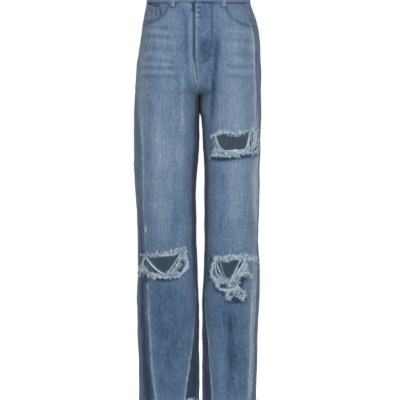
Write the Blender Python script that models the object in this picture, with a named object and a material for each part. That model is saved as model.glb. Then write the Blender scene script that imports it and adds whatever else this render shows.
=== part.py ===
# Ripped high-rise jeans, filled out as when worn, with no wearer.
# Tables hold millimetres. The model is in metres, +Z up, with its front towards -Y.
# The origin is the middle of the waist opening, level with the top of the waistband.
# Right and left are the wearer's, so the right half is at -X.

import math
import random

import bmesh
import bpy
from mathutils import Vector

MM = 0.001

# Driving sizes
BAND_HEIGHT = 40.0
CROTCH_Z = -277.0
HEM_Z = -1064.0
DENIM = 1.5  # wall of the fronts, backs and yokes
THIN_DENIM = 1.2  # wall of the patches and the pieces behind the fronts
BAND_WALL = 3.0
BAND_PROUD = 0.8  # the waistband's face stands this far out of the panels
GAP = 0.3  # between pieces
CLEAR = 0.8  # between layers that lie on each other, whose facets differ
FLY_BOTTOM_Z = -195.0
UNDERLAP = 10.0  # the right front goes this far under the left one at the fly
BAND_UNDERLAP = 34.0
LAP_FADE = 26.0  # the lapping edge sinks back into the left front over this width
BUTTON_RADIUS = 8.5
BUTTON_DEPTH = 3.6
LOOP_WIDTH = 11.0
LOOP_WALL = 1.8
FACING_UNDER = 24.0  # the pocket facing goes this far behind the front

# Grid fineness of the panels
PANEL_COLUMNS = 11
TRUNK_ROWS = 8
CROTCH_ROWS = 6
LEG_ROWS = 24

SIDE = {"right": -1, "left": 1}


def table(header, *rows):
    names = header.split()
    return [dict(zip(names, row)) for row in rows]


# Above the crotch. right, left: half widths to the outline. merge: 1 where the two halves make
# one ellipse, 0 where they part into legs. fly, seat: how far the centre seam stands off x = 0
# at the front and the back. seam_right, seam_left: the side seams' x, seen from the front.
TRUNK = table(
    "z     right  left  front  back  merge  square  fly  seat  seam_right  seam_left",
    (0, 130, 126, -86, 84, 1.00, 2.2, -12, 7, -130, 121),
    (-40, 137, 132, -92, 90, 1.00, 2.2, -12, 7, -136.9, 125),
    (-85, 145, 147, -98, 102, 1.00, 2.25, -12, 6, -144.8, 135),
    (-135, 153, 156, -104, 114, 1.00, 2.4, -12, 5, -152.4, 145),
    (-185, 160, 159, -107, 121, 1.00, 2.65, -12, 4, -159, 148),
    (-215, 163, 160, -107, 121, 0.80, 2.85, -9, 3, -161, 148),
    (-240, 165, 160, -106, 117, 0.50, 2.75, -6, 2, -162, 148),
    (-262, 167, 160, -105, 110, 0.18, 2.5, -3, 1, -163, 148),
    (-272, 167, 160, -104, 105, 0.05, 2.3, -1, 0, -162.5, 148),
    (CROTCH_Z, 168, 160, -103, 102, 0.00, 2.25, 0, 0, -162, 148),
)

# Below the crotch. outer, inner: the leg's outline. side, inseam: the seams' x, seen from the
# front; they turn forwards on the way down, so the back panels show beside the fronts.
LEG = {
    "right": table(
        "z     outer  inner  front  back  square  side  inseam",
        (CROTCH_Z, -168, 0, -103, 102, 2.25, -162, 0),
        (-331, -170, -0.8, -101, 96, 2.2, -157, -1),
        (-396, -170, -1, -97, 90, 2.2, -152, -1.4),
        (-448, -170, -4, -94, 86, 2.2, -149, -4.6),
        (-552, -165, -9, -88, 79, 2.2, -148, -11),
        (-656, -160, -7, -81, 75, 2.2, -143, -10),
        (-713, -160, -6, -80, 74, 2.2, -139, -10),
        (-812, -162, -2, -77, 76, 2.3, -136, -9),
        (-916, -160, -1, -75, 78, 2.4, -131, -15),
        (-968, -158, -0.5, -74, 79, 2.4, -128, -21),
        (HEM_Z, -157, -0.5, -74, 80, 2.5, -117, -35),
    ),
    "left": table(
        "z     outer  inner  front  back  square  side  inseam",
        (CROTCH_Z, 160, 0, -103, 102, 2.25, 148, 0),
        (-331, 160, 4.5, -101, 97, 2.2, 148, 4.7),
        (-396, 158, 8, -98, 92, 2.2, 148, 8.5),
        (-448, 157, 11, -95, 89, 2.2, 148, 12),
        (-552, 155, 12, -89, 85, 2.2, 147, 14),
        (-656, 152, 12, -84, 81, 2.2, 145, 14),
        (-713, 155, 11.5, -83, 80, 2.2, 145, 14),
        (-760, 157, 9, -82, 80, 2.2, 144, 13),
        (-812, 155, 6.5, -81, 82, 2.3, 140, 13),
        (-916, 150, 6.5, -80, 85, 2.4, 137, 20),
        (-968, 149, 6.5, -80, 86, 2.4, 136, 24),
        (HEM_Z, 147, 6.5, -80, 88, 2.5, 129, 30),
    ),
}

# The largest folds, as soft troughs between two points seen from the front or the back.
# face: -1 front, 1 back. A negative depth is a ridge.
FOLDS = table(
    "half face  x0    z0    x1    z1   width  depth",
    ("left", -1, 74, -800, 84, -1100, 17, 5.0),
    ("right", -1, -118, -820, -104, -1100, 13, 3.0),
    ("right", -1, -60, -860, -66, -1100, 16, 2.5),
    ("right", -1, -24, -292, -70, -400, 14, 2.5),
    ("left", -1, 26, -292, 72, -372, 14, 2.5),
    ("right", 1, -30, -285, -104, -350, 16, 5.0),
    ("left", 1, 30, -285, 100, -345, 16, 5.0),
    ("right", 1, -40, -345, -120, -420, 18, 3.5),
    ("left", 1, 42, -340, 118, -425, 18, 3.5),
    ("right", 1, -36, -690, -130, -722, 16, 3.5),
    ("left", 1, 40, -700, 128, -728, 16, 3.5),
    ("right", 1, -86, -820, -78, -1100, 20, 4.0),
    ("left", 1, 72, -830, 82, -1100, 20, 4.0),
)

# The pocket mouths: quarter ellipses about the corner of waist seam and side seam
POCKET = {
    "right": {"corner": -146.0, "wide": 62.0, "deep": 50.0},
    "left": {"corner": 136.0, "wide": 65.0, "deep": 56.0},
}

# The yoke seam drops from a row of the side seam to the centre back. The back's rows are level
# again from a lower one, so fronts and backs share their rows along the side seam.
YOKE_ROW = 2
LEVEL_ROW = 5
YOKE_CENTRE_Z = -124.0

# Rips: the holes that go through the front, as outlines seen from the front (x, z)
RIPS = {
    "thigh": {
        "half": "left",
        "holes": [
            [(43, -388), (64, -381), (93, -385), (129, -378), (118, -417), (63, -422), (51, -412)],
            [(130, -398), (135, -400), (135, -408), (130, -409)],
        ],
    },
    "knee_right": {
        "half": "right",
        "holes": [
            [(-134, -703), (-121, -698), (-77, -697), (-51, -690), (-78, -730), (-92, -741), (-103, -735),
             (-124, -713)],
            [(-138, -707), (-132, -712), (-118, -730), (-113, -740), (-118, -740), (-132, -722)],
            [(-61, -709), (-56, -709), (-69, -734), (-74, -731)],
            [(-40, -716), (-36, -719), (-51, -736), (-56, -734)],
        ],
    },
    "knee_left": {
        "half": "left",
        "holes": [
            [(57, -708), (70, -712), (86, -706), (104, -706), (94, -724), (84, -744), (79, -752), (67, -751),
             (60, -742), (55, -724)],
            [(49, -718), (53, -718), (55, -740), (50, -738)],
            [(38, -735), (42, -734), (50, -748), (46, -751)],
            [(107, -710), (113, -712), (108, -722), (104, -720)],
            [(52, -775), (66, -773), (66, -781), (54, -783)],
        ],
    },
}

# Frayed rings on the fronts round each rip. reach: the strands' length at the top, the sides
# and the bottom of the ring.
FRAYS = table(
    "name        half    cx    cz     wide  tall  strands  top  side  bottom",
    ("fray_thigh", "left", 88, -401, 50, 25, 40, 8, 12, 15),
    ("fray_knee_right", "right", -93, -717, 50, 25, 40, 7, 10, 16),
    ("fray_knee_left", "left", 79, -731, 35, 27, 36, 8, 15, 18),
)
FRAY_STRIP = 2.4
FRAY_WALL = 1.1
FRAY_LIFT = 0.9

HEM_STRANDS = 30
HEM_STRIP = 2.2
HEM_REACH = (6.0, 14.0)
ROOT_WIDTH = 1.7

BELT_LOOPS = table(
    "name                 half   face   x",
    ("belt_loop_front_right", "right", -1, -69),
    ("belt_loop_front_left", "left", -1, 62),
    ("belt_loop_back_right", "right", 1, -92),
    ("belt_loop_back_left", "left", 1, 96),
    ("belt_loop_centre_back", "left", 1, 7),
)

# A belt loop down its length: height and the clearance of its inner face over the panels
LOOP_PROFILE = table(
    "z    clear",
    (-0.6, 1.2),
    (-6, 1.5),
    (-13, 4.0),
    (-31, 4.0),
    (-38, 2.6),
    (-45, 1.3),
    (-53, 0.9),
)

BACK_POCKET = table(
    "z     near  far",
    (-134, 26, 123),
    (-160, 27, 123),
    (-190, 29, 121),
    (-220, 31, 118),
    (-243, 34, 114),
    (-256, 52, 98),
    (-265, 70, 80),
)

FLY_PIECE = table(
    "z     near  far",
    (-41, -32, 31),
    (-80, -32, 31),
    (-120, -32, 31),
    (-150, -31, 29),
    (-172, -28, 20),
    (-188, -24, 6),
    (-198, -20, -8),
)

COLOURS = {
    "denim": (0.150, 0.225, 0.315, 1.0),
    "denim_shade": (0.110, 0.175, 0.255, 1.0),
    "thread": (0.520, 0.590, 0.640, 1.0),
    "brass": (0.420, 0.300, 0.150, 1.0),
}


# Interpolation
def slopes(knots, values):
    secants = [(b - a) / (q - p) for p, q, a, b in zip(knots, knots[1:], values, values[1:])]
    result = [secants[0]]
    for before, after in zip(secants, secants[1:]):
        same = before * after > 0
        result.append(2 * before * after / (before + after) if same else 0.0)
    result.append(secants[-1])
    return result


CURVES = {}


def read(rows, column, z):
    # A smooth curve through one column of a table, with no overshoot between its rows
    key = (id(rows), column)
    if key not in CURVES:
        ordered = sorted(rows, key=lambda row: row["z"])
        knots = [row["z"] for row in ordered]
        values = [row[column] for row in ordered]
        CURVES[key] = (knots, values, slopes(knots, values))
    knots, values, tangents = CURVES[key]
    z = min(max(z, knots[0]), knots[-1])
    k = 0
    while k < len(knots) - 2 and z > knots[k + 1]:
        k += 1
    span = knots[k + 1] - knots[k]
    t = (z - knots[k]) / span
    start = (1 + 2 * t) * (1 - t) ** 2 * values[k] + t * (1 - t) ** 2 * span * tangents[k]
    end = t * t * (3 - 2 * t) * values[k + 1] - t * t * (1 - t) * span * tangents[k + 1]
    return start + end


def ease(t):
    t = min(max(t, 0.0), 1.0)
    return t * t * (3 - 2 * t)


def mix(a, b, t):
    return a + (b - a) * t


# Cross-sections. The angle runs from the inner side (0) by the front (90 degrees) and the
# outer side (180) to the back (270).
def outline(half, z):
    side = SIDE[half]
    if z >= CROTCH_Z:
        outer = side * read(TRUNK, half, z)
        inner = -outer * read(TRUNK, "merge", z)
        rows = TRUNK
    else:
        rows = LEG[half]
        outer = read(rows, "outer", z)
        inner = read(rows, "inner", z)
    front = read(rows, "front", z)
    back = read(rows, "back", z)
    return {
        "side": side,
        "cx": (outer + inner) / 2 + side * GAP,
        "cy": (front + back) / 2,
        "a": abs(outer - inner) / 2,
        "b": (back - front) / 2,
        "power": 2 / read(rows, "square", z),
    }


def signed_power(value, power):
    return math.copysign(abs(value) ** power, value)


def angle_at(half, x, z):
    # The front angle at which the plain outline passes x
    shape = outline(half, z)
    share = (x - shape["cx"]) / (-shape["side"] * shape["a"])
    share = min(max(share, -1.0), 1.0)
    return math.acos(signed_power(share, 1 / shape["power"]))


def fold_depth(half, face, x, z):
    depth = 0.0
    for fold in FOLDS:
        if fold["half"] != half or fold["face"] != face:
            continue
        run = Vector((fold["x1"] - fold["x0"], fold["z1"] - fold["z0"]))
        place = Vector((x - fold["x0"], z - fold["z0"]))
        along = min(max(place.dot(run) / run.length_squared, 0.0), 1.0)
        away = (place - along * run).length / fold["width"]
        depth += fold["depth"] * math.exp(-away * away) * ease(along / 0.3) * ease((1.0 - along) / 0.15 + 0.2)
    return depth


def plain_point(half, angle, z):
    shape = outline(half, z)
    turn_x = signed_power(math.cos(angle), shape["power"])
    turn_y = signed_power(math.sin(angle), shape["power"])
    x = shape["cx"] - shape["side"] * shape["a"] * turn_x
    if z >= CROTCH_Z:
        shift = read(TRUNK, "fly", z) if turn_y > 0 else read(TRUNK, "seat", z)
        x += shift * turn_y * turn_y
    face = -1 if turn_y > 0 else 1
    hollow = fold_depth(half, face, x, z) * abs(turn_y)
    return Vector((x, shape["cy"] - (shape["b"] - hollow) * turn_y, z))


def surface(half, angle, z, lift=0.0):
    # The point of the cloth's outer face at an angle and height, moved out by lift
    step = 0.02
    across = plain_point(half, angle + step, z) - plain_point(half, angle - step, z)
    down = plain_point(half, angle, z - 2) - plain_point(half, angle, z + 2)
    normal = across.cross(down) * -SIDE[half]
    return plain_point(half, angle, z) + normal.normalized() * lift


def angle_on(half, face, x, z):
    # The angle at which the finished front or back passes x
    near, far = (0.03, math.pi) if face < 0 else (2 * math.pi - 0.03, math.pi)
    for _ in range(30):
        middle = (near + far) / 2
        beyond = (plain_point(half, middle, z).x - x) * SIDE[half]
        near, far = (near, middle) if beyond > 0 else (middle, far)
    return (near + far) / 2


def place_on(half, face, x, z, lift):
    return surface(half, angle_on(half, face, x, z), z, lift)


def arc_step(half, angle, z, distance):
    # The change of angle that moves a point of the outline by a distance
    step = 0.01
    reach = (plain_point(half, angle + step, z) - plain_point(half, angle - step, z)).length
    return distance * 2 * step / reach


# Seams, as angles on the outline
def above_fly_end(z, beyond):
    return ease((z - FLY_BOTTOM_Z - beyond) / 8.0)


def front_start(half, z):
    if z < CROTCH_Z:
        angle = angle_at(half, read(LEG[half], "inseam", z), z)
        return angle + arc_step(half, angle, z, GAP / 2)
    under = UNDERLAP * above_fly_end(z, 10.0) if half == "right" else 0.0
    return angle_at(half, SIDE[half] * GAP + under, z)


def back_end(half, z):
    if z < CROTCH_Z:
        angle = angle_at(half, read(LEG[half], "inseam", z), z) + 2 * math.pi
        return angle - arc_step(half, angle, z, GAP / 2)
    return 2 * math.pi - angle_at(half, SIDE[half] * GAP, z)


def side_seam(half, z, beyond):
    rows, column = (TRUNK, "seam_" + half) if z >= CROTCH_Z else (LEG[half], "side")
    angle = angle_at(half, read(rows, column, z), z)
    return angle + arc_step(half, angle, z, beyond * GAP / 2)


# Meshes
def new_object(name, mesh, material):
    mesh.materials.append(material)
    thing = bpy.data.objects.new(name, mesh)
    bpy.context.scene.collection.objects.link(thing)
    return thing


def mesh_from(bm, name):
    for vertex in bm.verts:
        vertex.co *= MM
    bmesh.ops.recalc_face_normals(bm, faces=bm.faces)
    mesh = bpy.data.meshes.new(name)
    bm.to_mesh(mesh)
    bm.free()
    mesh.shade_smooth()
    mesh.set_sharp_from_angle(angle=math.radians(50))
    return mesh


def wall_from_grids(name, outer, inner, material):
    # A closed wall between an outer and an inner grid of points
    rows, columns = len(outer), len(outer[0])
    bm = bmesh.new()
    top = [[bm.verts.new(point) for point in row] for row in outer]
    low = [[bm.verts.new(point) for point in row] for row in inner]
    for i in range(rows - 1):
        for j in range(columns - 1):
            bm.faces.new((top[i][j], top[i][j + 1], top[i + 1][j + 1], top[i + 1][j]))
            bm.faces.new((low[i][j], low[i + 1][j], low[i + 1][j + 1], low[i][j + 1]))
    for i in range(rows - 1):
        for j in (0, columns - 1):
            bm.faces.new((top[i][j], top[i + 1][j], low[i + 1][j], low[i][j]))
    for j in range(columns - 1):
        for i in (0, rows - 1):
            bm.faces.new((top[i][j + 1], top[i][j], low[i][j], low[i][j + 1]))
    return new_object(name, mesh_from(bm, name), material)


def panel_heights():
    top = -BAND_HEIGHT - GAP
    turn = -235.0  # below this the centre seam turns under
    heights = [mix(top, turn, k / TRUNK_ROWS) for k in range(TRUNK_ROWS)]
    for k in range(CROTCH_ROWS):
        heights.append(mix(turn, CROTCH_Z, math.sin(math.pi / 2 * k / CROTCH_ROWS)))
    heights += [mix(CROTCH_Z, HEM_Z, k / LEG_ROWS) for k in range(LEG_ROWS + 1)]
    return heights


def lap_lift(half, point):
    # The left front stands over the right one at the fly
    if half == "right":
        return 0.0
    edge = read(TRUNK, "fly", point.z)
    away = (point.x - edge - UNDERLAP - 2.0) / LAP_FADE
    return (DENIM + CLEAR) * above_fly_end(point.z, 0.0) * (1.0 - ease(away))


def make_front(half, material):
    outer, inner = [], []
    for z in panel_heights():
        start, end = front_start(half, z), side_seam(half, z, -1)
        angles = [mix(start, end, k / PANEL_COLUMNS) for k in range(PANEL_COLUMNS + 1)]
        lifts = [lap_lift(half, plain_point(half, angle, z)) for angle in angles]
        outer.append([surface(half, angle, z, lift) for angle, lift in zip(angles, lifts)])
        inner.append([surface(half, angle, z, lift - DENIM) for angle, lift in zip(angles, lifts)])
    return wall_from_grids("front_" + half, outer, inner, material)


def yoke_z(across):
    return mix(panel_heights()[YOKE_ROW], YOKE_CENTRE_Z, across)


def make_back_part(name, half, heights_at, material):
    # heights_at gives the heights down one column, by the column's share across the back
    columns = []
    for k in range(PANEL_COLUMNS + 1):
        across = k / PANEL_COLUMNS
        column = []
        for z in heights_at(across):
            angle = mix(side_seam(half, z, 1), back_end(half, z), across)
            column.append((angle, z))
        columns.append(column)
    rows = list(zip(*columns))
    outer = [[surface(half, angle, z) for angle, z in row] for row in rows]
    inner = [[surface(half, angle, z, -DENIM) for angle, z in row] for row in rows]
    return wall_from_grids(name, outer, inner, material)


def back_heights(across):
    heights = panel_heights()
    top = yoke_z(across) - GAP / 2
    steps = LEVEL_ROW - YOKE_ROW
    return [mix(top, heights[LEVEL_ROW], k / steps) for k in range(steps)] + heights[LEVEL_ROW:]


def yoke_heights(across):
    top, bottom = panel_heights()[0], yoke_z(across) + GAP / 2
    return [mix(top, bottom, k / YOKE_ROW) for k in range(YOKE_ROW + 1)]


def make_patch(name, half, face, rows, near, far, lift, wall, columns, material):
    # A patch that follows the cloth between two edges, its inner face at lift
    outer, inner = [], []
    for row in rows:
        xs = [mix(near(row), far(row), k / columns) for k in range(columns + 1)]
        angles = [angle_on(half, face, x, row["z"]) for x in xs]
        outer.append([surface(half, angle, row["z"], lift + wall) for angle in angles])
        inner.append([surface(half, angle, row["z"], lift) for angle in angles])
    return wall_from_grids(name, outer, inner, material)


def make_back_pocket(half, material):
    side = SIDE[half]
    return make_patch(
        "back_pocket_" + half, half, 1, BACK_POCKET,
        lambda row: side * row["near"], lambda row: side * row["far"],
        CLEAR, THIN_DENIM, 9, material,
    )


def mouth_depth(half, x):
    # How far the pocket's mouth drops below the waist seam at x
    mouth = POCKET[half]
    share = min(abs(x - mouth["corner"]) / mouth["wide"], 1.0)
    return mouth["deep"] * math.sqrt(1.0 - share * share)


def make_pocket_facing(half, material):
    mouth = POCKET[half]
    side = SIDE[half]
    wide, deep = mouth["wide"] + FACING_UNDER, mouth["deep"] + FACING_UNDER
    steps = 12
    outer, inner = [], []
    for k in range(steps + 1):
        turn = 0.92 * math.pi / 2 * k / steps
        z = -BAND_HEIGHT - 2 * GAP - deep * math.sin(turn)
        near = side_seam(half, z, -1)
        far = angle_on(half, -1, mouth["corner"] - side * wide * math.cos(turn), z)
        angles = [mix(near, far, j / 8) for j in range(9)]
        outer.append([surface(half, angle, z, -DENIM - CLEAR) for angle in angles])
        inner.append([surface(half, angle, z, -DENIM - CLEAR - THIN_DENIM) for angle in angles])
    return wall_from_grids("pocket_facing_" + half, outer, inner, material)


def make_coin_pocket(material):
    half, near, far, top = "right", -137.0, -106.0, -47.0
    outer, inner = [], []
    for k in range(6):
        points = []
        for j in range(6):
            x = mix(near, far, j / 5)
            bottom = -BAND_HEIGHT - mouth_depth(half, x) + 1.5
            points.append((x, mix(top, bottom, k / 5)))
        outer.append([place_on(half, -1, x, z, THIN_DENIM - DENIM) for x, z in points])
        inner.append([place_on(half, -1, x, z, -DENIM) for x, z in points])
    return wall_from_grids("coin_pocket", outer, inner, material)


def make_fly_piece(material):
    # The fly piece lies behind both fronts, so it crosses the centre
    outer, inner = [], []
    wall_top = -DENIM - CLEAR
    for row in FLY_PIECE:
        points = [mix(row["near"], row["far"], k / 7) for k in range(8)]
        face = [fly_point(x, row["z"], wall_top) for x in points]
        behind = [fly_point(x, row["z"], wall_top - THIN_DENIM) for x in points]
        outer.append(face)
        inner.append(behind)
    return wall_from_grids("fly_piece", outer, inner, material)


def fly_point(x, z, lift):
    half = "right" if x < read(TRUNK, "fly", z) else "left"
    return place_on(half, -1, x, z, lift)


def make_waistband(material):
    # From the left end over the fly, round the back, to the right end that goes under it
    lift_by = BAND_WALL + GAP + 0.2
    outer, inner = [], []
    heights = (0.0, -BAND_HEIGHT / 2, -BAND_HEIGHT)
    for z in heights:
        centre = angle_at("left", GAP, z)
        stations = [("left", mix(centre, 2 * math.pi - centre, k / 30)) for k in range(30)]
        under = angle_at("right", BAND_UNDERLAP, z)
        back = 2 * math.pi - angle_at("right", -GAP, z)
        stations += [("right", mix(back, under, k / 34)) for k in range(35)]
        face, behind = [], []
        for half, angle in stations:
            point = plain_point(half, angle, z)
            away = (point.x - read(TRUNK, "fly", z) - BAND_UNDERLAP - 2.0) / 30.0
            over = half == "left" and point.y < 0
            lift = BAND_PROUD + (lift_by * (1.0 - ease(away)) if over else 0.0)
            face.append(surface(half, angle, z, lift))
            behind.append(surface(half, angle, z, lift - BAND_WALL))
        outer.append(face)
        inner.append(behind)
    return wall_from_grids("waistband", outer, inner, material)


def make_belt_loop(spec, material):
    outer, inner = [], []
    for row in LOOP_PROFILE:
        points = [mix(-LOOP_WIDTH / 2, LOOP_WIDTH / 2, k / 2) + spec["x"] for k in range(3)]
        clear = row["clear"]
        outer.append([place_on(spec["half"], spec["face"], x, row["z"], clear + LOOP_WALL) for x in points])
        inner.append([place_on(spec["half"], spec["face"], x, row["z"], clear) for x in points])
    return wall_from_grids(spec["name"], outer, inner, material)


def make_button(material):
    # A turned tack button on the waistband's overlapping end
    x, z = 5.0, -BAND_HEIGHT / 2
    base = BAND_PROUD + BAND_WALL + 2 * GAP + 0.5
    seat = place_on("left", -1, x, z, base)
    out = (seat - place_on("left", -1, x, z, 0.0)).normalized()
    up = out.cross(Vector((1, 0, 0))).normalized()
    across = up.cross(out)
    rim = BUTTON_RADIUS
    profile = [(0, 0), (rim * 0.94, 0), (rim, 0.6), (rim, 1.8), (rim * 0.9, BUTTON_DEPTH - 0.7),
               (rim * 0.8, BUTTON_DEPTH - 1.1), (rim * 0.45, BUTTON_DEPTH - 0.2), (0, BUTTON_DEPTH)]
    bm = bmesh.new()
    verts = [bm.verts.new((radius, 0.0, height)) for radius, height in profile]
    edges = [bm.edges.new(pair) for pair in zip(verts, verts[1:])]
    bmesh.ops.spin(bm, geom=verts + edges, axis=(0, 0, 1), cent=(0, 0, 0), angle=math.tau, steps=20,
                   use_merge=True)
    bmesh.ops.remove_doubles(bm, verts=bm.verts, dist=0.001)
    for vertex in bm.verts:
        vertex.co = seat + across * vertex.co.x + up * vertex.co.y + out * vertex.co.z
    return new_object("button", mesh_from(bm, "button"), material)


# Fringes
def fringe_ring(name, ring, strand_ends, material):
    # ring: for each station its four corners, the strands' side first and second.
    # strand_ends: for each station the four points that its strand ends in, or None.
    bm = bmesh.new()
    loops = [[bm.verts.new(point) for point in corners] for corners in ring]
    count = len(loops)
    for k in range(count):
        here, after = loops[k], loops[(k + 1) % count]
        for c in (1, 2, 3):
            bm.faces.new((here[c], here[(c + 1) % 4], after[(c + 1) % 4], after[c]))
        if strand_ends[k] is None:
            bm.faces.new((here[0], here[1], after[1], after[0]))
            continue
        root = (here[0], here[1], after[1], after[0])
        for section in strand_ends[k]:
            tip = [bm.verts.new(point) for point in section]
            for c in range(4):
                bm.faces.new((root[c], root[(c + 1) % 4], tip[(c + 1) % 4], tip[c]))
            root = tip
        bm.faces.new(root)
    return new_object(name, mesh_from(bm, name), material)


def hem_angles(half, draw):
    # Stations round the hem: a narrow root, then a wide space, for each strand
    total = 2 * math.pi
    spacing = total / HEM_STRANDS
    angles = []
    for k in range(HEM_STRANDS):
        start = spacing * (k + draw.uniform(-0.2, 0.2))
        angles += [start, start + arc_step(half, start, HEM_Z, ROOT_WIDTH)]
    return angles


def make_hem_fringe(half, material):
    draw = random.Random(11 if half == "right" else 12)
    top, low = HEM_Z - GAP, HEM_Z - GAP - HEM_STRIP
    angles = hem_angles(half, draw)
    ring, ends = [], []
    for k, angle in enumerate(angles):
        ring.append((
            shifted_hem(half, angle, low, 0.0), shifted_hem(half, angle, low, -DENIM),
            shifted_hem(half, angle, top, -DENIM), shifted_hem(half, angle, top, 0.0),
        ))
        if k % 2:
            ends.append(None)
            continue
        reach = draw.uniform(*HEM_REACH)
        sway, flare = draw.uniform(-2.0, 2.0), draw.uniform(0.2, 2.4)
        width = ROOT_WIDTH
        sections = []
        for share, thin in ((0.5, 0.8), (1.0, 0.35)):
            middle = angle + arc_step(half, angle, HEM_Z, width / 2 + sway * share)
            spread = arc_step(half, angle, HEM_Z, width * thin / 2)
            z = low - reach * share
            out, back = flare * share, flare * share - DENIM * thin
            sections.append((
                shifted_hem(half, middle - spread, z, out), shifted_hem(half, middle - spread, z, back),
                shifted_hem(half, middle + spread, z, back), shifted_hem(half, middle + spread, z, out),
            ))
        ends.append(sections)
    return fringe_ring("hem_fringe_" + half, ring, ends, material)


def shifted_hem(half, angle, z, lift):
    point = surface(half, angle, HEM_Z, lift)
    return Vector((point.x, point.y, z))


def make_fray(spec, material):
    draw = random.Random(len(spec["name"]))
    half = spec["half"]
    count = spec["strands"]

    def on_cloth(turn, away, lift):
        x = spec["cx"] + (spec["wide"] + away) * math.cos(turn)
        z = spec["cz"] + (spec["tall"] + away) * signed_power(math.sin(turn), 0.8)
        return place_on(half, -1, x, z, lift)

    ring, ends = [], []
    for k in range(count):
        start = math.tau * (k + draw.uniform(-0.15, 0.15)) / count
        size = math.hypot(spec["wide"] * math.sin(start), spec["tall"] * math.cos(start))
        root = ROOT_WIDTH / max(size, spec["tall"] * 0.8)
        for turn in (start, start + root):
            ring.append((
                on_cloth(turn, FRAY_STRIP, FRAY_LIFT + FRAY_WALL), on_cloth(turn, FRAY_STRIP, FRAY_LIFT),
                on_cloth(turn, 0.0, FRAY_LIFT), on_cloth(turn, 0.0, FRAY_LIFT + FRAY_WALL),
            ))
        rise = math.sin(start)
        longest = mix(spec["side"], spec["top"] if rise > 0 else spec["bottom"], rise * rise)
        reach = longest * draw.uniform(0.6, 1.0)
        sway = draw.uniform(-0.4, 0.4) * root
        middle, spread = start + root / 2 + sway, root * 0.2
        away = FRAY_STRIP + reach
        lift = FRAY_LIFT + draw.uniform(0.0, 1.0)
        ends.append([(
            on_cloth(middle - spread, away, lift + 0.5), on_cloth(middle - spread, away, lift),
            on_cloth(middle + spread, away, lift), on_cloth(middle + spread, away, lift + 0.5),
        )])
        ends.append(None)
    return fringe_ring(spec["name"], ring, ends, material)


# Cutters
def prism(bm, points, near_y, far_y):
    front = [bm.verts.new((x, near_y, z)) for x, z in points]
    back = [bm.verts.new((x, far_y, z)) for x, z in points]
    bm.faces.new(front)
    bm.faces.new(back[::-1])
    for k in range(len(points)):
        after = (k + 1) % len(points)
        bm.faces.new((front[k], front[after], back[after], back[k]))


def cut_with(target, name, outlines, far_y):
    bm = bmesh.new()
    for points in outlines:
        prism(bm, points, -160.0, far_y)
    mesh = mesh_from(bm, name)
    cutter = bpy.data.objects.new(name, mesh)
    bpy.context.scene.collection.objects.link(cutter)
    cutter.hide_render = True
    cutter.display_type = "WIRE"
    cut = target.modifiers.new(name, "BOOLEAN")
    cut.operation = "DIFFERENCE"
    cut.solver = "EXACT"
    cut.object = cutter


def mouth_outline(half):
    # The ellipse's lower quarter, closed well outside the waist seam and the side seam
    mouth = POCKET[half]
    outward = SIDE[half] * 40.0
    arc = []
    for k in range(13):
        turn = math.pi / 2 * k / 12
        x = mouth["corner"] - SIDE[half] * mouth["wide"] * math.cos(turn)
        arc.append((x, -BAND_HEIGHT - mouth["deep"] * math.sin(turn)))
    arc.append((mouth["corner"] + outward, arc[-1][1]))
    arc.append((mouth["corner"] + outward, 5.0))
    arc.append((arc[0][0], 5.0))
    return arc


def make_material(name, roughness, metallic=0.0):
    material = bpy.data.materials.new(name)
    material.use_nodes = True
    shader = material.node_tree.nodes["Principled BSDF"]
    shader.inputs["Base Color"].default_value = COLOURS[name]
    shader.inputs["Roughness"].default_value = roughness
    shader.inputs["Metallic"].default_value = metallic
    material.diffuse_color = COLOURS[name]
    return material


def clear_scene():
    for thing in list(bpy.data.objects):
        bpy.data.objects.remove(thing)


def main():
    clear_scene()
    denim = make_material("denim", 0.88)
    shade = make_material("denim_shade", 0.9)
    thread = make_material("thread", 0.9)
    brass = make_material("brass", 0.4, 0.9)
    for half in SIDE:
        front = make_front(half, denim)
        cut_with(front, "mouth_" + half, [mouth_outline(half)], 60.0)
        for name, rip in RIPS.items():
            if rip["half"] == half:
                cut_with(front, "rip_" + name, rip["holes"], -28.0)
        make_back_part("back_" + half, half, back_heights, denim)
        make_back_part("yoke_" + half, half, yoke_heights, denim)
        make_pocket_facing(half, shade)
        make_back_pocket(half, denim)
        make_hem_fringe(half, thread)
    make_coin_pocket(denim)
    make_fly_piece(shade)
    make_waistband(denim)
    for spec in BELT_LOOPS:
        make_belt_loop(spec, denim)
    make_button(brass)
    for spec in FRAYS:
        make_fray(spec, thread)


main()
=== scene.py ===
import math

import bpy
import numpy as np
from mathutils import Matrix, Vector


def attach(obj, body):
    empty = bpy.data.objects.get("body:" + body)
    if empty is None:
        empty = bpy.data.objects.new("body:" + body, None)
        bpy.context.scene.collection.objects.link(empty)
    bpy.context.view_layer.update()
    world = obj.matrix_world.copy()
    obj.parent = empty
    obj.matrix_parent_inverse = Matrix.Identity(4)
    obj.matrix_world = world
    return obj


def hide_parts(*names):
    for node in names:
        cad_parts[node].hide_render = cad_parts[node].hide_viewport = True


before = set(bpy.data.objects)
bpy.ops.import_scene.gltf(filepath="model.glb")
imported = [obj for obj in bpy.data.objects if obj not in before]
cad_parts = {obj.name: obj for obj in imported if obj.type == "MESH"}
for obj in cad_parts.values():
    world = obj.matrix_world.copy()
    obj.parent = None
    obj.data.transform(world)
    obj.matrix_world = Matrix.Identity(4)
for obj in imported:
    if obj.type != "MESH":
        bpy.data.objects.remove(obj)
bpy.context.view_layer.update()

# Ripped high-rise jeans, filled out as when worn. Tables are in millimetres, meshes in metres.
# x and z are read as seen from the front; right and left are the wearer's, and right is at -x.

mm = 0.001
sideOf = {"right": -1, "left": 1}
front, back = -1, 1

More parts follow.
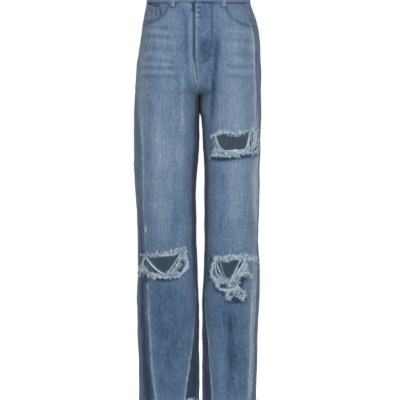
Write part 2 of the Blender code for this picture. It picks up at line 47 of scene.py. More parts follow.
body = {
    "bandHeight": 40.0,
    "crotch": -277.0,
    "hem": -1071.0,
    "gap": 0.3,
    "flyBottom": -195.0,
    "denim": 1.5,
    "thinDenim": 1.2,
    "clear": 0.8,
    "underlap": 10.0,
    "lapFade": 26.0,
    "cleftEnd": -318.0,  # above it the inner sides of the two backs meet
    "cleftFade": 24.0,
    "yokeSide": -88.98,
    "yokeCentre": -124.0,
    "backLevel": -161.99,
}


def rowsOf(header, rows):
    values = np.array(sorted(rows), dtype=float)
    return {name: values[:, k] for k, name in enumerate(header.split())}


def straight(rows, column, z):
    return np.interp(z, rows["z"], rows[column])


# Above the crotch: half widths, depths, how far the two halves merge, squareness, seams
trunk = rowsOf(
    "z right left front back merge square fly seat sideRight sideLeft",
    [
        (0, 130, 126, -86, 84, 1.00, 2.2, -12, 7, -130, 121),
        (-40, 137, 132, -92, 90, 1.00, 2.2, -12, 7, -136.9, 125),
        (-85, 145, 147, -98, 102, 1.00, 2.25, -12, 6, -144.8, 135),
        (-135, 153, 156, -104, 114, 1.00, 2.4, -12, 5, -152.4, 145),
        (-185, 160, 159, -107, 121, 1.00, 2.65, -12, 4, -159, 148),
        (-215, 163, 160, -107, 121, 0.80, 2.85, -9, 3, -161, 148),
        (-240, 165, 160, -106, 117, 0.50, 2.75, -6, 2, -162, 148),
        (-262, 167, 160, -105, 110, 0.18, 2.5, -3, 1, -163, 148),
        (-272, 167, 160, -104, 105, 0.05, 2.3, -1, 0, -162.5, 148),
        (-277, 168, 160, -103, 102, 0.00, 2.25, 0, 0, -162, 148),
    ],
)

# Below the crotch: each leg's outline and its seams
leg = {
    "right": rowsOf(
        "z outer inner front back square side inseam",
        [
            (-277, -168, 0, -103, 102, 2.25, -162, 0),
            (-331, -170, -0.8, -101, 96, 2.2, -157, -1),
            (-396, -170, -1, -97, 90, 2.2, -152, -1.4),
            (-448, -170, -4, -94, 86, 2.2, -149, -4.6),
            (-552, -165, -9, -88, 79, 2.2, -148, -11),
            (-656, -160, -7, -81, 75, 2.2, -143, -10),
            (-713, -160, -6, -80, 74, 2.2, -139, -10),
            (-812, -162, -2, -77, 76, 2.3, -136, -9),
            (-916, -160, -1, -75, 78, 2.4, -131, -15),
            (-968, -158, -0.5, -74, 79, 2.4, -128, -21),
            (-1064, -157, -0.5, -74, 80, 2.5, -117, -35),
        ],
    ),
    "left": rowsOf(
        "z outer inner front back square side inseam",
        [
            (-277, 160, 0, -103, 102, 2.25, 148, 0),
            (-331, 160, 4.5, -101, 97, 2.2, 148, 4.7),
            (-396, 158, 8, -98, 92, 2.2, 148, 8.5),
            (-448, 157, 11, -95, 89, 2.2, 148, 12),
            (-552, 155, 12, -89, 85, 2.2, 147, 14),
            (-656, 152, 12, -84, 81, 2.2, 145, 14),
            (-713, 155, 11.5, -83, 80, 2.2, 145, 14),
            (-760, 157, 9, -82, 80, 2.2, 144, 13),
            (-812, 155, 6.5, -81, 82, 2.3, 140, 13),
            (-916, 150, 6.5, -80, 85, 2.4, 137, 20),
            (-968, 149, 6.5, -80, 86, 2.4, 136, 24),
            (-1064, 147, 6.5, -80, 88, 2.5, 129, 30),
        ],
    ),
}

# The largest folds, as on the solids, for each half and face: from x, z to x, z, width, depth
folds = {
    ("right", front): [
        (-118, -820, -104, -1100, 13, 3.0), (-60, -860, -66, -1100, 16, 2.5),
        (-24, -292, -70, -400, 14, 2.5),
    ],
    ("left", front): [
        (74, -800, 84, -1100, 17, 5.0), (26, -292, 72, -372, 14, 2.5),
    ],
    ("right", back): [
        (-30, -285, -104, -350, 16, 5.0), (-40, -345, -120, -420, 18, 3.5),
        (-36, -690, -130, -722, 16, 3.5), (-86, -820, -78, -1100, 20, 4.0),
    ],
    ("left", back): [
        (30, -285, 100, -345, 16, 5.0), (42, -340, 118, -425, 18, 3.5), (40, -700, 128, -728, 16, 3.5),
        (72, -830, 82, -1100, 20, 4.0),
    ],
}

# Finer creases: line of points, width, height (below 0 is a trough)
creases = {
    ("right", front): [
        # whiskers over the hips, from the fly towards the pockets
        ([(-34, -118), (-70, -110), (-100, -103)], 4.5, -0.9),
        ([(-30, -124), (-66, -116), (-98, -112)], 4.0, 0.8),
        ([(-36, -140), (-80, -131), (-124, -126)], 4.5, -0.9),
        ([(-32, -149), (-78, -142), (-118, -140)], 4.0, 0.7),
        ([(-30, -172), (-82, -163), (-138, -156)], 5.0, -1.3),
        ([(-28, -184), (-80, -176), (-130, -172)], 4.5, 0.9),
        ([(-34, -196), (-84, -189), (-128, -187)], 4.0, -0.9),
        ([(-40, -216), (-96, -211), (-148, -206)], 5.0, -1.3),
        ([(-36, -227), (-92, -223), (-140, -222)], 4.5, 0.9),
        ([(-30, -240), (-84, -234), (-132, -231)], 5.0, -1.1),
        # the drop from the fly's end and the crotch
        ([(-10, -214), (-16, -244), (-28, -275), (-46, -310)], 6.0, -1.8),
        ([(-4, -236), (-9, -262), (-14, -300), (-20, -346)], 5.0, 1.4),
        # long shallow drapes down the thighs and shins
        ([(-52, -300), (-60, -420), (-58, -560)], 12.0, 1.1),
        ([(-112, -330), (-118, -470), (-112, -620)], 14.0, 1.0),
        ([(-82, -470), (-86, -600), (-90, -668)], 11.0, -1.0),
        ([(-92, -800), (-86, -920), (-84, -1062)], 10.0, 1.4),
        ([(-42, -790), (-38, -900), (-34, -1060)], 9.0, -1.2),
        ([(-136, -790), (-128, -900), (-120, -1060)], 7.0, 1.0),
        # the pull beside the rips
        ([(-140, -668), (-100, -672), (-56, -664), (-30, -652)], 6.0, -1.0),
        ([(-132, -776), (-96, -780), (-54, -774)], 7.0, -1.3),
        ([(-128, -792), (-92, -798), (-50, -794)], 7.0, 1.0),
    ],
    ("left", front): [
        # whiskers over the hips, from the fly towards the pockets
        ([(48, -112), (84, -105), (118, -100)], 4.5, -0.8),
        ([(40, -138), (86, -128), (124, -124)], 4.5, -0.9),
        ([(44, -148), (88, -139), (122, -136)], 4.0, 0.7),
        ([(38, -172), (86, -164), (134, -158)], 5.0, -1.1),
        ([(40, -205), (90, -199), (142, -196)], 5.0, -1.3),
        ([(36, -216), (88, -211), (136, -210)], 4.5, 0.9),
        ([(30, -238), (82, -232), (136, -228)], 5.0, -1.2),
        # the drop from the fly's end and the crotch
        ([(30, -152), (36, -178), (40, -214), (38, -250)], 5.5, -2.2),
        ([(22, -196), (27, -232), (30, -268), (34, -330)], 6.0, -1.8),
        ([(6, -240), (14, -268), (20, -306), (24, -350)], 5.0, 1.2),
        # long shallow drapes down the thighs and shins
        ([(54, -450), (58, -560), (60, -660)], 12.0, -1.0),
        ([(108, -470), (112, -570), (106, -680)], 14.0, 1.1),
        ([(60, -830), (56, -930), (50, -1060)], 8.0, 1.6),
        ([(92, -800), (102, -920), (108, -1062)], 9.0, 1.8),
        ([(118, -840), (122, -950), (124, -1060)], 8.0, -1.2),
        # the pull beside the rips
        ([(34, -440), (60, -462), (110, -468), (140, -452)], 6.0, -1.4),
        ([(36, -455), (64, -478), (112, -486), (146, -472)], 6.0, 1.1),
        ([(50, -352), (90, -346), (132, -350)], 6.0, -0.9),
        ([(36, -672), (76, -676), (126, -670)], 6.0, -0.9),
        ([(24, -796), (48, -826), (96, -834), (134, -820)], 7.0, -1.3),
        ([(26, -812), (52, -844), (98, -852), (132, -842)], 7.0, 1.0),
    ],
    ("right", back): [
        # the seat and the backs of the knees
        ([(-24, -262), (-62, -300), (-118, -322)], 7.0, -2.2),
        ([(-18, -300), (-54, -340), (-110, -374)], 7.0, 1.6),
        ([(-26, -324), (-58, -368), (-96, -396)], 6.0, -1.5),
        ([(-24, -640), (-74, -662), (-132, -664)], 7.0, -1.8),
        ([(-22, -668), (-76, -688), (-138, -692)], 6.0, 1.5),
        ([(-26, -722), (-80, -738), (-134, -748)], 7.0, -1.8),
        ([(-30, -748), (-84, -764), (-126, -776)], 6.0, 1.2),
        ([(-52, -430), (-58, -520), (-56, -610)], 12.0, 1.1),
        ([(-112, -440), (-108, -540), (-110, -620)], 12.0, -1.1),
        ([(-46, -820), (-42, -940), (-40, -1062)], 9.0, -1.6),
        ([(-116, -820), (-112, -940), (-108, -1062)], 10.0, 1.6),
    ],
    ("left", back): [
        # the seat and the backs of the knees
        ([(24, -260), (60, -296), (112, -316)], 7.0, -2.0),
        ([(20, -298), (52, -336), (104, -368)], 7.0, 1.5),
        ([(28, -328), (56, -372), (92, -402)], 6.0, -1.4),
        ([(28, -646), (78, -668), (130, -676)], 7.0, -1.8),
        ([(26, -676), (80, -694), (136, -700)], 6.0, 1.4),
        ([(30, -730), (84, -748), (132, -752)], 7.0, -1.7),
        ([(34, -756), (86, -772), (124, -786)], 6.0, 1.2),
        ([(60, -430), (64, -520), (60, -612)], 12.0, 1.1),
        ([(112, -440), (108, -540), (112, -620)], 12.0, -1.1),
        ([(46, -820), (44, -940), (44, -1062)], 9.0, -1.6),
        ([(108, -820), (106, -940), (104, -1062)], 10.0, 1.6),
    ],
}


def curve(rows, column, z):
    # a smooth curve through one column, with no overshoot between its rows
    knots, values = rows["z"], rows[column]
    secants = np.diff(values) / np.diff(knots)
    before, after = secants[:-1], secants[1:]
    same = before * after > 0
    inner = np.where(same, 2 * before * after / np.where(same, before + after, 1.0), 0.0)
    tangents = np.concatenate([secants[:1], inner, secants[-1:]])
    z = np.clip(z, knots[0], knots[-1])
    k = np.clip(np.searchsorted(knots, z) - 1, 0, len(knots) - 2)
    span = knots[k + 1] - knots[k]
    t = (z - knots[k]) / span
    start = (1 + 2 * t) * (1 - t) ** 2 * values[k] + t * (1 - t) ** 2 * span * tangents[k]
    end = t * t * (3 - 2 * t) * values[k + 1] - t * t * (1 - t) * span * tangents[k + 1]
    return start + end


def ease(t):
    t = np.clip(t, 0.0, 1.0)
    return t * t * (3 - 2 * t)


def bell(away, width):
    return np.exp(-((away / width) ** 2))


def signedPower(value, power):
    return np.sign(value) * np.abs(value) ** power


def outline(half, z):
    side = sideOf[half]
    above = z >= body["crotch"]
    wide = side * curve(trunk, half, z)
    low = leg[half]
    outer = np.where(above, wide, curve(low, "outer", z))
    inner = np.where(above, -wide * curve(trunk, "merge", z), curve(low, "inner", z))
    near = np.where(above, curve(trunk, "front", z), curve(low, "front", z))
    far = np.where(above, curve(trunk, "back", z), curve(low, "back", z))
    square = np.where(above, curve(trunk, "square", z), curve(low, "square", z))
    return {
        "side": side,
        "cx": (outer + inner) / 2 + side * body["gap"],
        "cy": (near + far) / 2,
        "a": np.abs(outer - inner) / 2,
        "b": (far - near) / 2,
        "power": 2 / square,
    }


def awayFromLine(line, x, z):
    # the distance of points from a line of points, and how far along it they lie
    pts = np.array(line, dtype=float)
    lengths = np.hypot(*np.diff(pts, axis=0).T)
    before = np.concatenate([[0.0], np.cumsum(lengths)])
    best = np.full(np.shape(x), 1e9)
    along = np.zeros(np.shape(x))
    for k, (a, b) in enumerate(zip(pts, pts[1:])):
        run = b - a
        t = np.clip(((x - a[0]) * run[0] + (z - a[1]) * run[1]) / (run @ run), 0.0, 1.0)
        away = np.hypot(x - a[0] - t * run[0], z - a[1] - t * run[1])
        nearer = away < best
        best = np.where(nearer, away, best)
        along = np.where(nearer, (before[k] + t * lengths[k]) / before[-1], along)
    return best, along


def foldDepth(half, face, x, z):
    depth = np.zeros(np.shape(x))
    for x0, z0, x1, z1, width, deep in folds[half, face]:
        away, along = awayFromLine([(x0, z0), (x1, z1)], x, z)
        fade = ease(along / 0.3) * ease((1.0 - along) / 0.15 + 0.2)
        depth = depth + deep * bell(away, width) * fade
    return depth


def plainPoint(half, angle, z):
    # The angle runs from the inner side (0) by the front (90 degrees) and the outer side to the back
    z = z + 0.0 * angle
    shape = outline(half, z)
    side = shape["side"]
    turnX = signedPower(np.cos(angle), shape["power"])
    turnY = signedPower(np.sin(angle), shape["power"])
    x = shape["cx"] - side * shape["a"] * turnX
    shift = np.where(turnY > 0, curve(trunk, "fly", z), curve(trunk, "seat", z))
    x = x + np.where(z >= body["crotch"], shift * turnY * turnY, 0.0)
    meet = ease(-turnY / 0.15) * (1.0 - ease((-turnY - 0.4) / 0.35))
    meet = meet * (1.0 - ease((body["cleftEnd"] - z) / body["cleftFade"]))
    x = x + np.where((z < body["crotch"]) & (turnX > 0), side * body["gap"] - x, 0.0) * meet
    hollow = np.where(turnY > 0, foldDepth(half, front, x, z), foldDepth(half, back, x, z))
    y = shape["cy"] - (shape["b"] - hollow * np.abs(turnY)) * turnY
    return np.stack([x, y, z], axis=-1)


def creaseHeight(half, face, x, z):
    height = np.zeros(np.shape(x))
    for line, width, rise in creases[half, face]:
        away, along = awayFromLine(line, x, z)
        fade = ease(along / 0.25) * ease((1.0 - along) / 0.25)
        height = height + rise * bell(away, width) * fade
    return height


def unevenness(half, x, z):
    # slow waves that no two places share: length across and down, height
    turn = 1.7 if half == "left" else 0.4
    waves = ((61, 143, 0.55), (37, 97, 0.35), (23, 171, 0.3), (17, 41, 0.16))
    height = 0.0
    for k, (across, down, rise) in enumerate(waves):
        phase = turn * (k + 1) * 2.3
        swing = 1.3 * np.sin(z / down * 6.28 + phase * 1.7)
        height = height + rise * np.sin(x / across * 6.28 + phase + swing)
    return height


def unit(v):
    return v / np.maximum(np.linalg.norm(v, axis=-1, keepdims=True), 1e-9)


def normalAt(half, angle, z):
    step = 0.02
    across = plainPoint(half, angle + step, z) - plainPoint(half, angle - step, z)
    down = plainPoint(half, angle, z - 2) - plainPoint(half, angle, z + 2)
    return unit(np.cross(across, down) * -sideOf[half])


def clothPoint(half, angle, z, lift=0.0):
    # a point of the creased cloth's outer face, moved out by lift
    z = z + 0.0 * angle
    point = plainPoint(half, angle, z)
    x = point[..., 0]
    turnY = np.sin(angle)
    crease = np.where(turnY > 0, creaseHeight(half, front, x, z), creaseHeight(half, back, x, z))
    crease = crease * np.abs(turnY) ** 0.5
    calm = ease((-z - 60.0) / 60.0)  # the waist stays even
    # so do the inner sides by the crotch, which close on each other
    inner = (1.0 - ease(np.abs(turnY) / 0.5)) * ease((z + 350.0) / 30.0) * (np.cos(angle) > 0)
    close = np.maximum(inner, bell(x, 4.0) * ease((z + 290.0) / 10.0)) * ease((-z - 244.0) / 16.0)
    out = lift + (crease + unevenness(half, x, z)) * calm * (1.0 - close) + 1.1 * close
    return point + normalAt(half, angle, z) * np.asarray(out)[..., None]


def angleAt(half, x, z):
    shape = outline(half, z)
    share = np.clip((x - shape["cx"]) / (-shape["side"] * shape["a"]), -1.0, 1.0)
    return np.arccos(signedPower(share, 1 / shape["power"]))


def angleOn(half, face, x, z):
    # the angle at which the front or back passes x
    x, z = np.broadcast_arrays(np.asarray(x, dtype=float), np.asarray(z, dtype=float))
    near = np.full(x.shape, 0.03 if face == front else 2 * math.pi - 0.03)
    far = np.full(x.shape, math.pi)
    for _ in range(26):
        middle = (near + far) / 2
        beyond = (plainPoint(half, middle, z)[..., 0] - x) * sideOf[half] > 0
        near, far = np.where(beyond, near, middle), np.where(beyond, middle, far)
    return (near + far) / 2


def placeOn(half, face, x, z, lift=0.0):
    return clothPoint(half, angleOn(half, face, x, z), np.asarray(z, dtype=float), lift)


def arcStep(half, angle, z, distance):
    step = 0.01
    reach = plainPoint(half, angle + step, z) - plainPoint(half, angle - step, z)
    return distance * 2 * step / np.linalg.norm(reach, axis=-1)


def aboveFlyEnd(z, beyond):
    return ease((z - body["flyBottom"] - beyond) / 8.0)


def frontStart(half, z):
    low = angleAt(half, curve(leg[half], "inseam", z), z)
    low = low + arcStep(half, low, z, body["gap"] / 2)
    under = 0.0
    if half == "right":  # it runs under the left front
        under = body["underlap"] * aboveFlyEnd(z, 10.0) + 3.0 * ease((-z - 236.0) / 16.0)
    high = angleAt(half, sideOf[half] * body["gap"] + under, z)
    return np.where(z < body["crotch"], low, high)


def backEnd(half, z):
    low = angleAt(half, curve(leg[half], "inseam", z), z) + 2 * math.pi
    low = low - arcStep(half, low, z, body["gap"] / 2)
    high = 2 * math.pi - angleAt(half, sideOf[half] * body["gap"], z)
    return np.where(z < body["crotch"], low, high)


def sideSeam(half, z, beyond):
    column = "side" + half.title()
    x = np.where(z >= body["crotch"], curve(trunk, column, z), curve(leg[half], "side", z))
    angle = angleAt(half, x, z)
    return angle + arcStep(half, angle, z, beyond * body["gap"] / 2)


def frontEnd(half, z):
    return sideSeam(half, z, -1)


def backStart(half, z):
    return sideSeam(half, z, 1)


panelEdges = {front: (frontStart, frontEnd), back: (backStart, backEnd)}


def lapLift(half, x, z):
    # the left front stands over the right one at the fly
    if half == "right":
        return 0.0 * x
    away = (x - curve(trunk, "fly", z) - body["underlap"] - 2.0) / body["lapFade"]
    return (body["denim"] + body["clear"]) * aboveFlyEnd(z, 0.0) * (1.0 - ease(away))


# Meshes
def deselectAll():
    for thing in bpy.context.selected_objects:
        thing.select_set(False)


def newObject(name, verts, faces, materials):
    mesh = bpy.data.meshes.new(name)
    mesh.from_pydata((verts * mm).tolist(), [], faces)
    for material in materials:
        mesh.materials.append(material)
    thing = bpy.data.objects.new(name, mesh)
    bpy.context.scene.collection.objects.link(thing)
    return thing


def makeActive(thing):
    deselectAll()
    bpy.context.view_layer.objects.active = thing
    thing.select_set(True)


def startEditing(thing):
    makeActive(thing)
    bpy.ops.object.mode_set(mode="EDIT")
    bpy.ops.mesh.select_all(action="SELECT")


def endEditing(turnOut=False):
    if turnOut:
        bpy.ops.mesh.select_all(action="SELECT")
        bpy.ops.mesh.normals_make_consistent(inside=False)
    bpy.ops.object.mode_set(mode="OBJECT")


def applyModifiers(thing):
    makeActive(thing)
    for modifier in list(thing.modifiers):
        bpy.ops.object.modifier_apply(modifier=modifier.name)
    thing.select_set(False)


def setUvs(mesh, uv):
    # uv in millimetres for each vertex, kept in metres
    layer = mesh.uv_layers.new(name="cloth")
    corner = np.empty(len(mesh.loops), dtype=np.int32)
    mesh.loops.foreach_get("vertex_index", corner)
    layer.data.foreach_set("uv", (uv[corner] * mm).ravel())


def setValue(mesh, name, values):
    layer = mesh.attributes.new(name, "FLOAT", "POINT")
    layer.data.foreach_set("value", values.astype(np.float32).ravel())


def clothSheet(name, points, uv, values, thickness, facing, keep=None):
    # a grid of points as a sheet with a wall behind it; keep says which faces stay
    rows, columns = points.shape[:2]
    index = np.arange(rows * columns).reshape(rows, columns)
    quads = np.stack([index[:-1, :-1], index[:-1, 1:], index[1:, 1:], index[1:, :-1]], axis=-1)
    quads = quads[keep] if keep is not None else quads.reshape(-1, 4)
    flat = points.reshape(-1, 3)
    corner = flat[quads[:, 0]]
    normals = np.cross(flat[quads[:, 1]] - corner, flat[quads[:, 3]] - corner)
    if normals[:, 1].sum() * facing < 0:
        quads = quads[:, ::-1]
    used = np.unique(quads)
    renumber = np.zeros(rows * columns, dtype=int)
    renumber[used] = np.arange(len(used))
    thing = newObject(name, flat[used], renumber[quads].tolist(), cloth)
    setUvs(thing.data, uv.reshape(-1, 2)[used])
    for key, value in values.items():
        setValue(thing.data, key, np.broadcast_to(value, (rows, columns)).reshape(-1)[used])
    wall = thing.modifiers.new("wall", "SOLIDIFY")
    wall.thickness = thickness * mm
    wall.offset = -1
    wall.material_offset = 1
    wall.material_offset_rim = 2
    applyModifiers(thing)
    thing.data.shade_smooth()
    return thing


def insidePolygon(polygon, x, z):
    inside = np.zeros(np.shape(x), dtype=bool)
    pts = list(polygon)
    for (x0, z0), (x1, z1) in zip(pts, pts[1:] + pts[:1]):
        crosses = (z0 > z) != (z1 > z)
        level = (x1 - x0) * (z - z0) / (z1 - z0 if z1 != z0 else 1e-9) + x0
        inside ^= crosses & (x < level)
    return inside


def snapToPolygon(polygon, x, z, reach):
    # points near the outline move onto it, so a hole has a clean edge
    pts = list(polygon)
    best = np.full(x.shape, reach)
    newX, newZ = x.copy(), z.copy()
    for (x0, z0), (x1, z1) in zip(pts, pts[1:] + pts[:1]):
        run = (x1 - x0, z1 - z0)
        t = np.clip(((x - x0) * run[0] + (z - z0) * run[1]) / (run[0] ** 2 + run[1] ** 2), 0.0, 1.0)
        nearX, nearZ = x0 + t * run[0], z0 + t * run[1]
        away = np.hypot(x - nearX, z - nearZ)
        closer = away < best
        best = np.where(closer, away, best)
        newX, newZ = np.where(closer, nearX, newX), np.where(closer, nearZ, newZ)
    return newX, newZ, best < reach


def evenColumns(half, start, end, z, count):
    # angles that share out each row evenly by length, and the lengths from the row's start
    share = np.linspace(0.0, 1.0, 121)
    angles = start[:, None] + (end - start)[:, None] * share
    points = plainPoint(half, angles, z[:, None])
    steps = np.linalg.norm(np.diff(points, axis=1), axis=-1)
    length = np.concatenate([np.zeros((len(z), 1)), np.cumsum(steps, axis=1)], axis=1)
    even = np.linspace(0.0, 1.0, count + 1)
    result = np.array([np.interp(even * row[-1], row, a) for row, a in zip(length, angles)])
    return result, even * length[:, -1:]


# Holes in the fronts, as outlines; the first of each is the largest
rips = {
    "thigh": {
        "half": "left",
        "holes": [
            [(43, -388), (64, -381), (93, -385), (129, -377), (119, -420), (63, -424), (51, -414)],
            [(130, -398), (135, -400), (135, -408), (130, -409)],
        ],
    },
    "kneeRight": {
        "half": "right",
        "holes": [
            [(-134, -703), (-121, -698), (-77, -697), (-51, -690), (-78, -730), (-92, -741),
             (-103, -735), (-124, -713)],
            [(-138, -705), (-133, -712), (-119, -729), (-112, -741), (-119, -741), (-132, -727),
             (-139, -716)],
            [(-62, -708), (-57, -709), (-71, -735), (-76, -731)],
            [(-40, -716), (-36, -719), (-51, -736), (-56, -734)],
        ],
    },
    "kneeLeft": {
        "half": "left",
        "holes": [
            [(57, -708), (70, -712), (86, -706), (104, -706), (94, -724), (84, -744), (79, -752),
             (67, -751), (60, -742), (55, -724)],
            [(49, -718), (53, -718), (55, -740), (50, -738)],
            [(38, -735), (42, -734), (50, -748), (46, -751)],
            [(107, -710), (113, -712), (108, -722), (104, -720)],
        ],
    },
}

# Pocket mouths: quarter ellipses about the corner of waist seam and side seam
mouths = {
    "right": {"corner": -146.0, "wide": 62.0, "deep": 50.0},
    "left": {"corner": 136.0, "wide": 65.0, "deep": 56.0},
}


def mouthLine(half, beyond=0.0, turns=24):
    mouth, side = mouths[half], sideOf[half]
    turn = np.linspace(0.0, math.pi / 2, turns)
    x = mouth["corner"] - side * (mouth["wide"] + beyond) * np.cos(turn)
    z = -body["bandHeight"] - (mouth["deep"] + beyond) * np.sin(turn)
    return list(zip(x, z))


def mouthPolygon(half):
    line = mouthLine(half)
    beyond = mouths[half]["corner"] + sideOf[half] * 60.0
    return line + [(beyond, line[-1][1]), (beyond, 20.0), (line[0][0], 20.0)]


panel = {
    "rowStep": 3.4,
    "columns": 66,
    "backStep": 4.2,
    "backColumns": 54,
    "slopingRows": 19,
    "snap": 1.9,  # how near a hole's outline draws points onto it
}


def seamRelief(away, z, seed):
    # a pressed seam beside an edge: it turns in at the edge, stands up beside it and puckers
    turned = -0.9 * bell(away, 0.9)
    ridge = 0.55 * bell(away - 4.0, 3.6)
    beat = np.sin(z / 9.0 + 1.9 * np.sin(z / 23.0 + seed)) + 0.5 * np.sin(z / 5.1 + seed * 2.0)
    pucker = 0.3 * beat * bell(away, 9.0)
    return turned + ridge + pucker


def gridAngles(half, face, z):
    # z is a grid; where its rows slope, each column is worked out at its own heights
    startOf, endOf = panelEdges[face]
    columns = z.shape[1] - 1
    spread = lambda zs: evenColumns(half, startOf(half, zs), endOf(half, zs), zs, columns)
    angle, along = spread(z[:, 0])
    sloping = np.ptp(z, axis=1) > 1e-6
    for c in range(columns + 1):
        if sloping.any():
            angles, lengths = spread(z[sloping, c])
            angle[sloping, c], along[sloping, c] = angles[:, c], lengths[:, c]
    total = np.maximum.accumulate(along[:, -1:], axis=1)
    return angle, along, total


def makePanel(name, half, face, z, polygons=(), extra=None):
    # z: rows down, columns along the growing angle. extra: how far the cloth stands out more
    angle, along, total = gridAngles(half, face, z)
    x = plainPoint(half, angle, z)[..., 0]
    for polygon in polygons:
        newX, newZ, moved = snapToPolygon(polygon, x, z, panel["snap"])
        if moved.any():
            x, z = newX, newZ
            angle[moved] = angleOn(half, face, x[moved], z[moved])
    lift = seamRelief(along, z, 1.0) + seamRelief(total - along, z, 4.0)
    if extra is not None:
        lift = lift + extra(half, x, z)
    points = clothPoint(half, angle, z, lift)
    keep = np.ones((z.shape[0] - 1, z.shape[1] - 1), dtype=bool)
    middleOf = lambda grid: (grid[:-1, :-1] + grid[1:, :-1] + grid[:-1, 1:] + grid[1:, 1:]) / 4
    for polygon in polygons:
        keep &= ~insidePolygon(polygon, middleOf(x), middleOf(z))
    uv = np.stack([along - total / 2 + 400.0 * sideOf[half] + 900.0 * face, z], axis=-1)
    values = finishAndShadeValues(half, face, x, z, along, total - along)
    if face == back:
        shadeSides(half, x, z, along, total - along, values)
    return clothSheet(name + half.title(), points, uv, values, body["denim"], face, keep)


def levelRows(top, bottom, step):
    count = int(round((top - bottom) / step))
    return np.linspace(top, bottom, count + 1)


def makeFront(half):
    z = levelRows(-body["bandHeight"] - body["gap"], body["hem"], panel["rowStep"])
    z = np.repeat(z[:, None], panel["columns"] + 1, axis=1)
    polygons = [mouthPolygon(half)]
    for rip in rips.values():
        if rip["half"] == half:
            polygons += rip["holes"]
    return makePanel("frontPanel", half, front, z, polygons, frontRelief)


def yokeSeam(across):
    return body["yokeSide"] + (body["yokeCentre"] - body["yokeSide"]) * across


def makeBack(half):
    across = np.linspace(0.0, 1.0, panel["backColumns"] + 1)
    top = yokeSeam(across) - body["gap"] / 2
    share = np.linspace(0.0, 1.0, panel["slopingRows"])[:, None]
    upper = top + (body["backLevel"] - top) * share
    lower = levelRows(body["backLevel"], body["hem"], panel["backStep"])[1:]
    z = np.concatenate([upper, np.repeat(lower[:, None], len(across), axis=1)])
    return makePanel("backPanel", half, back, z)


def makeYoke(half):
    across = np.linspace(0.0, 1.0, panel["backColumns"] + 1)
    top = -body["bandHeight"] - body["gap"]
    bottom = yokeSeam(across) + body["gap"] / 2
    share = np.linspace(0.0, 1.0, panel["slopingRows"])[:, None]
    return makePanel("yokePanel", half, back, top + (bottom - top) * share)


def ripCurl(half, x, z):
    # the cloth round a rip bellies out below it
    curl = np.zeros(np.shape(x))
    for rip in rips.values():
        if rip["half"] == half:
            line = rip["holes"][0]
            away = awayFromLine(line + line[:1], x, z)[0]
            low = ease((max(p[1] for p in line) - 10.0 - z) / 30.0)
            curl = curl + (2.4 * low + 0.3) * bell(away, 9.0)
    return curl


def frontRelief(half, x, z):
    return lapLift(half, x, z) + ripCurl(half, x, z)
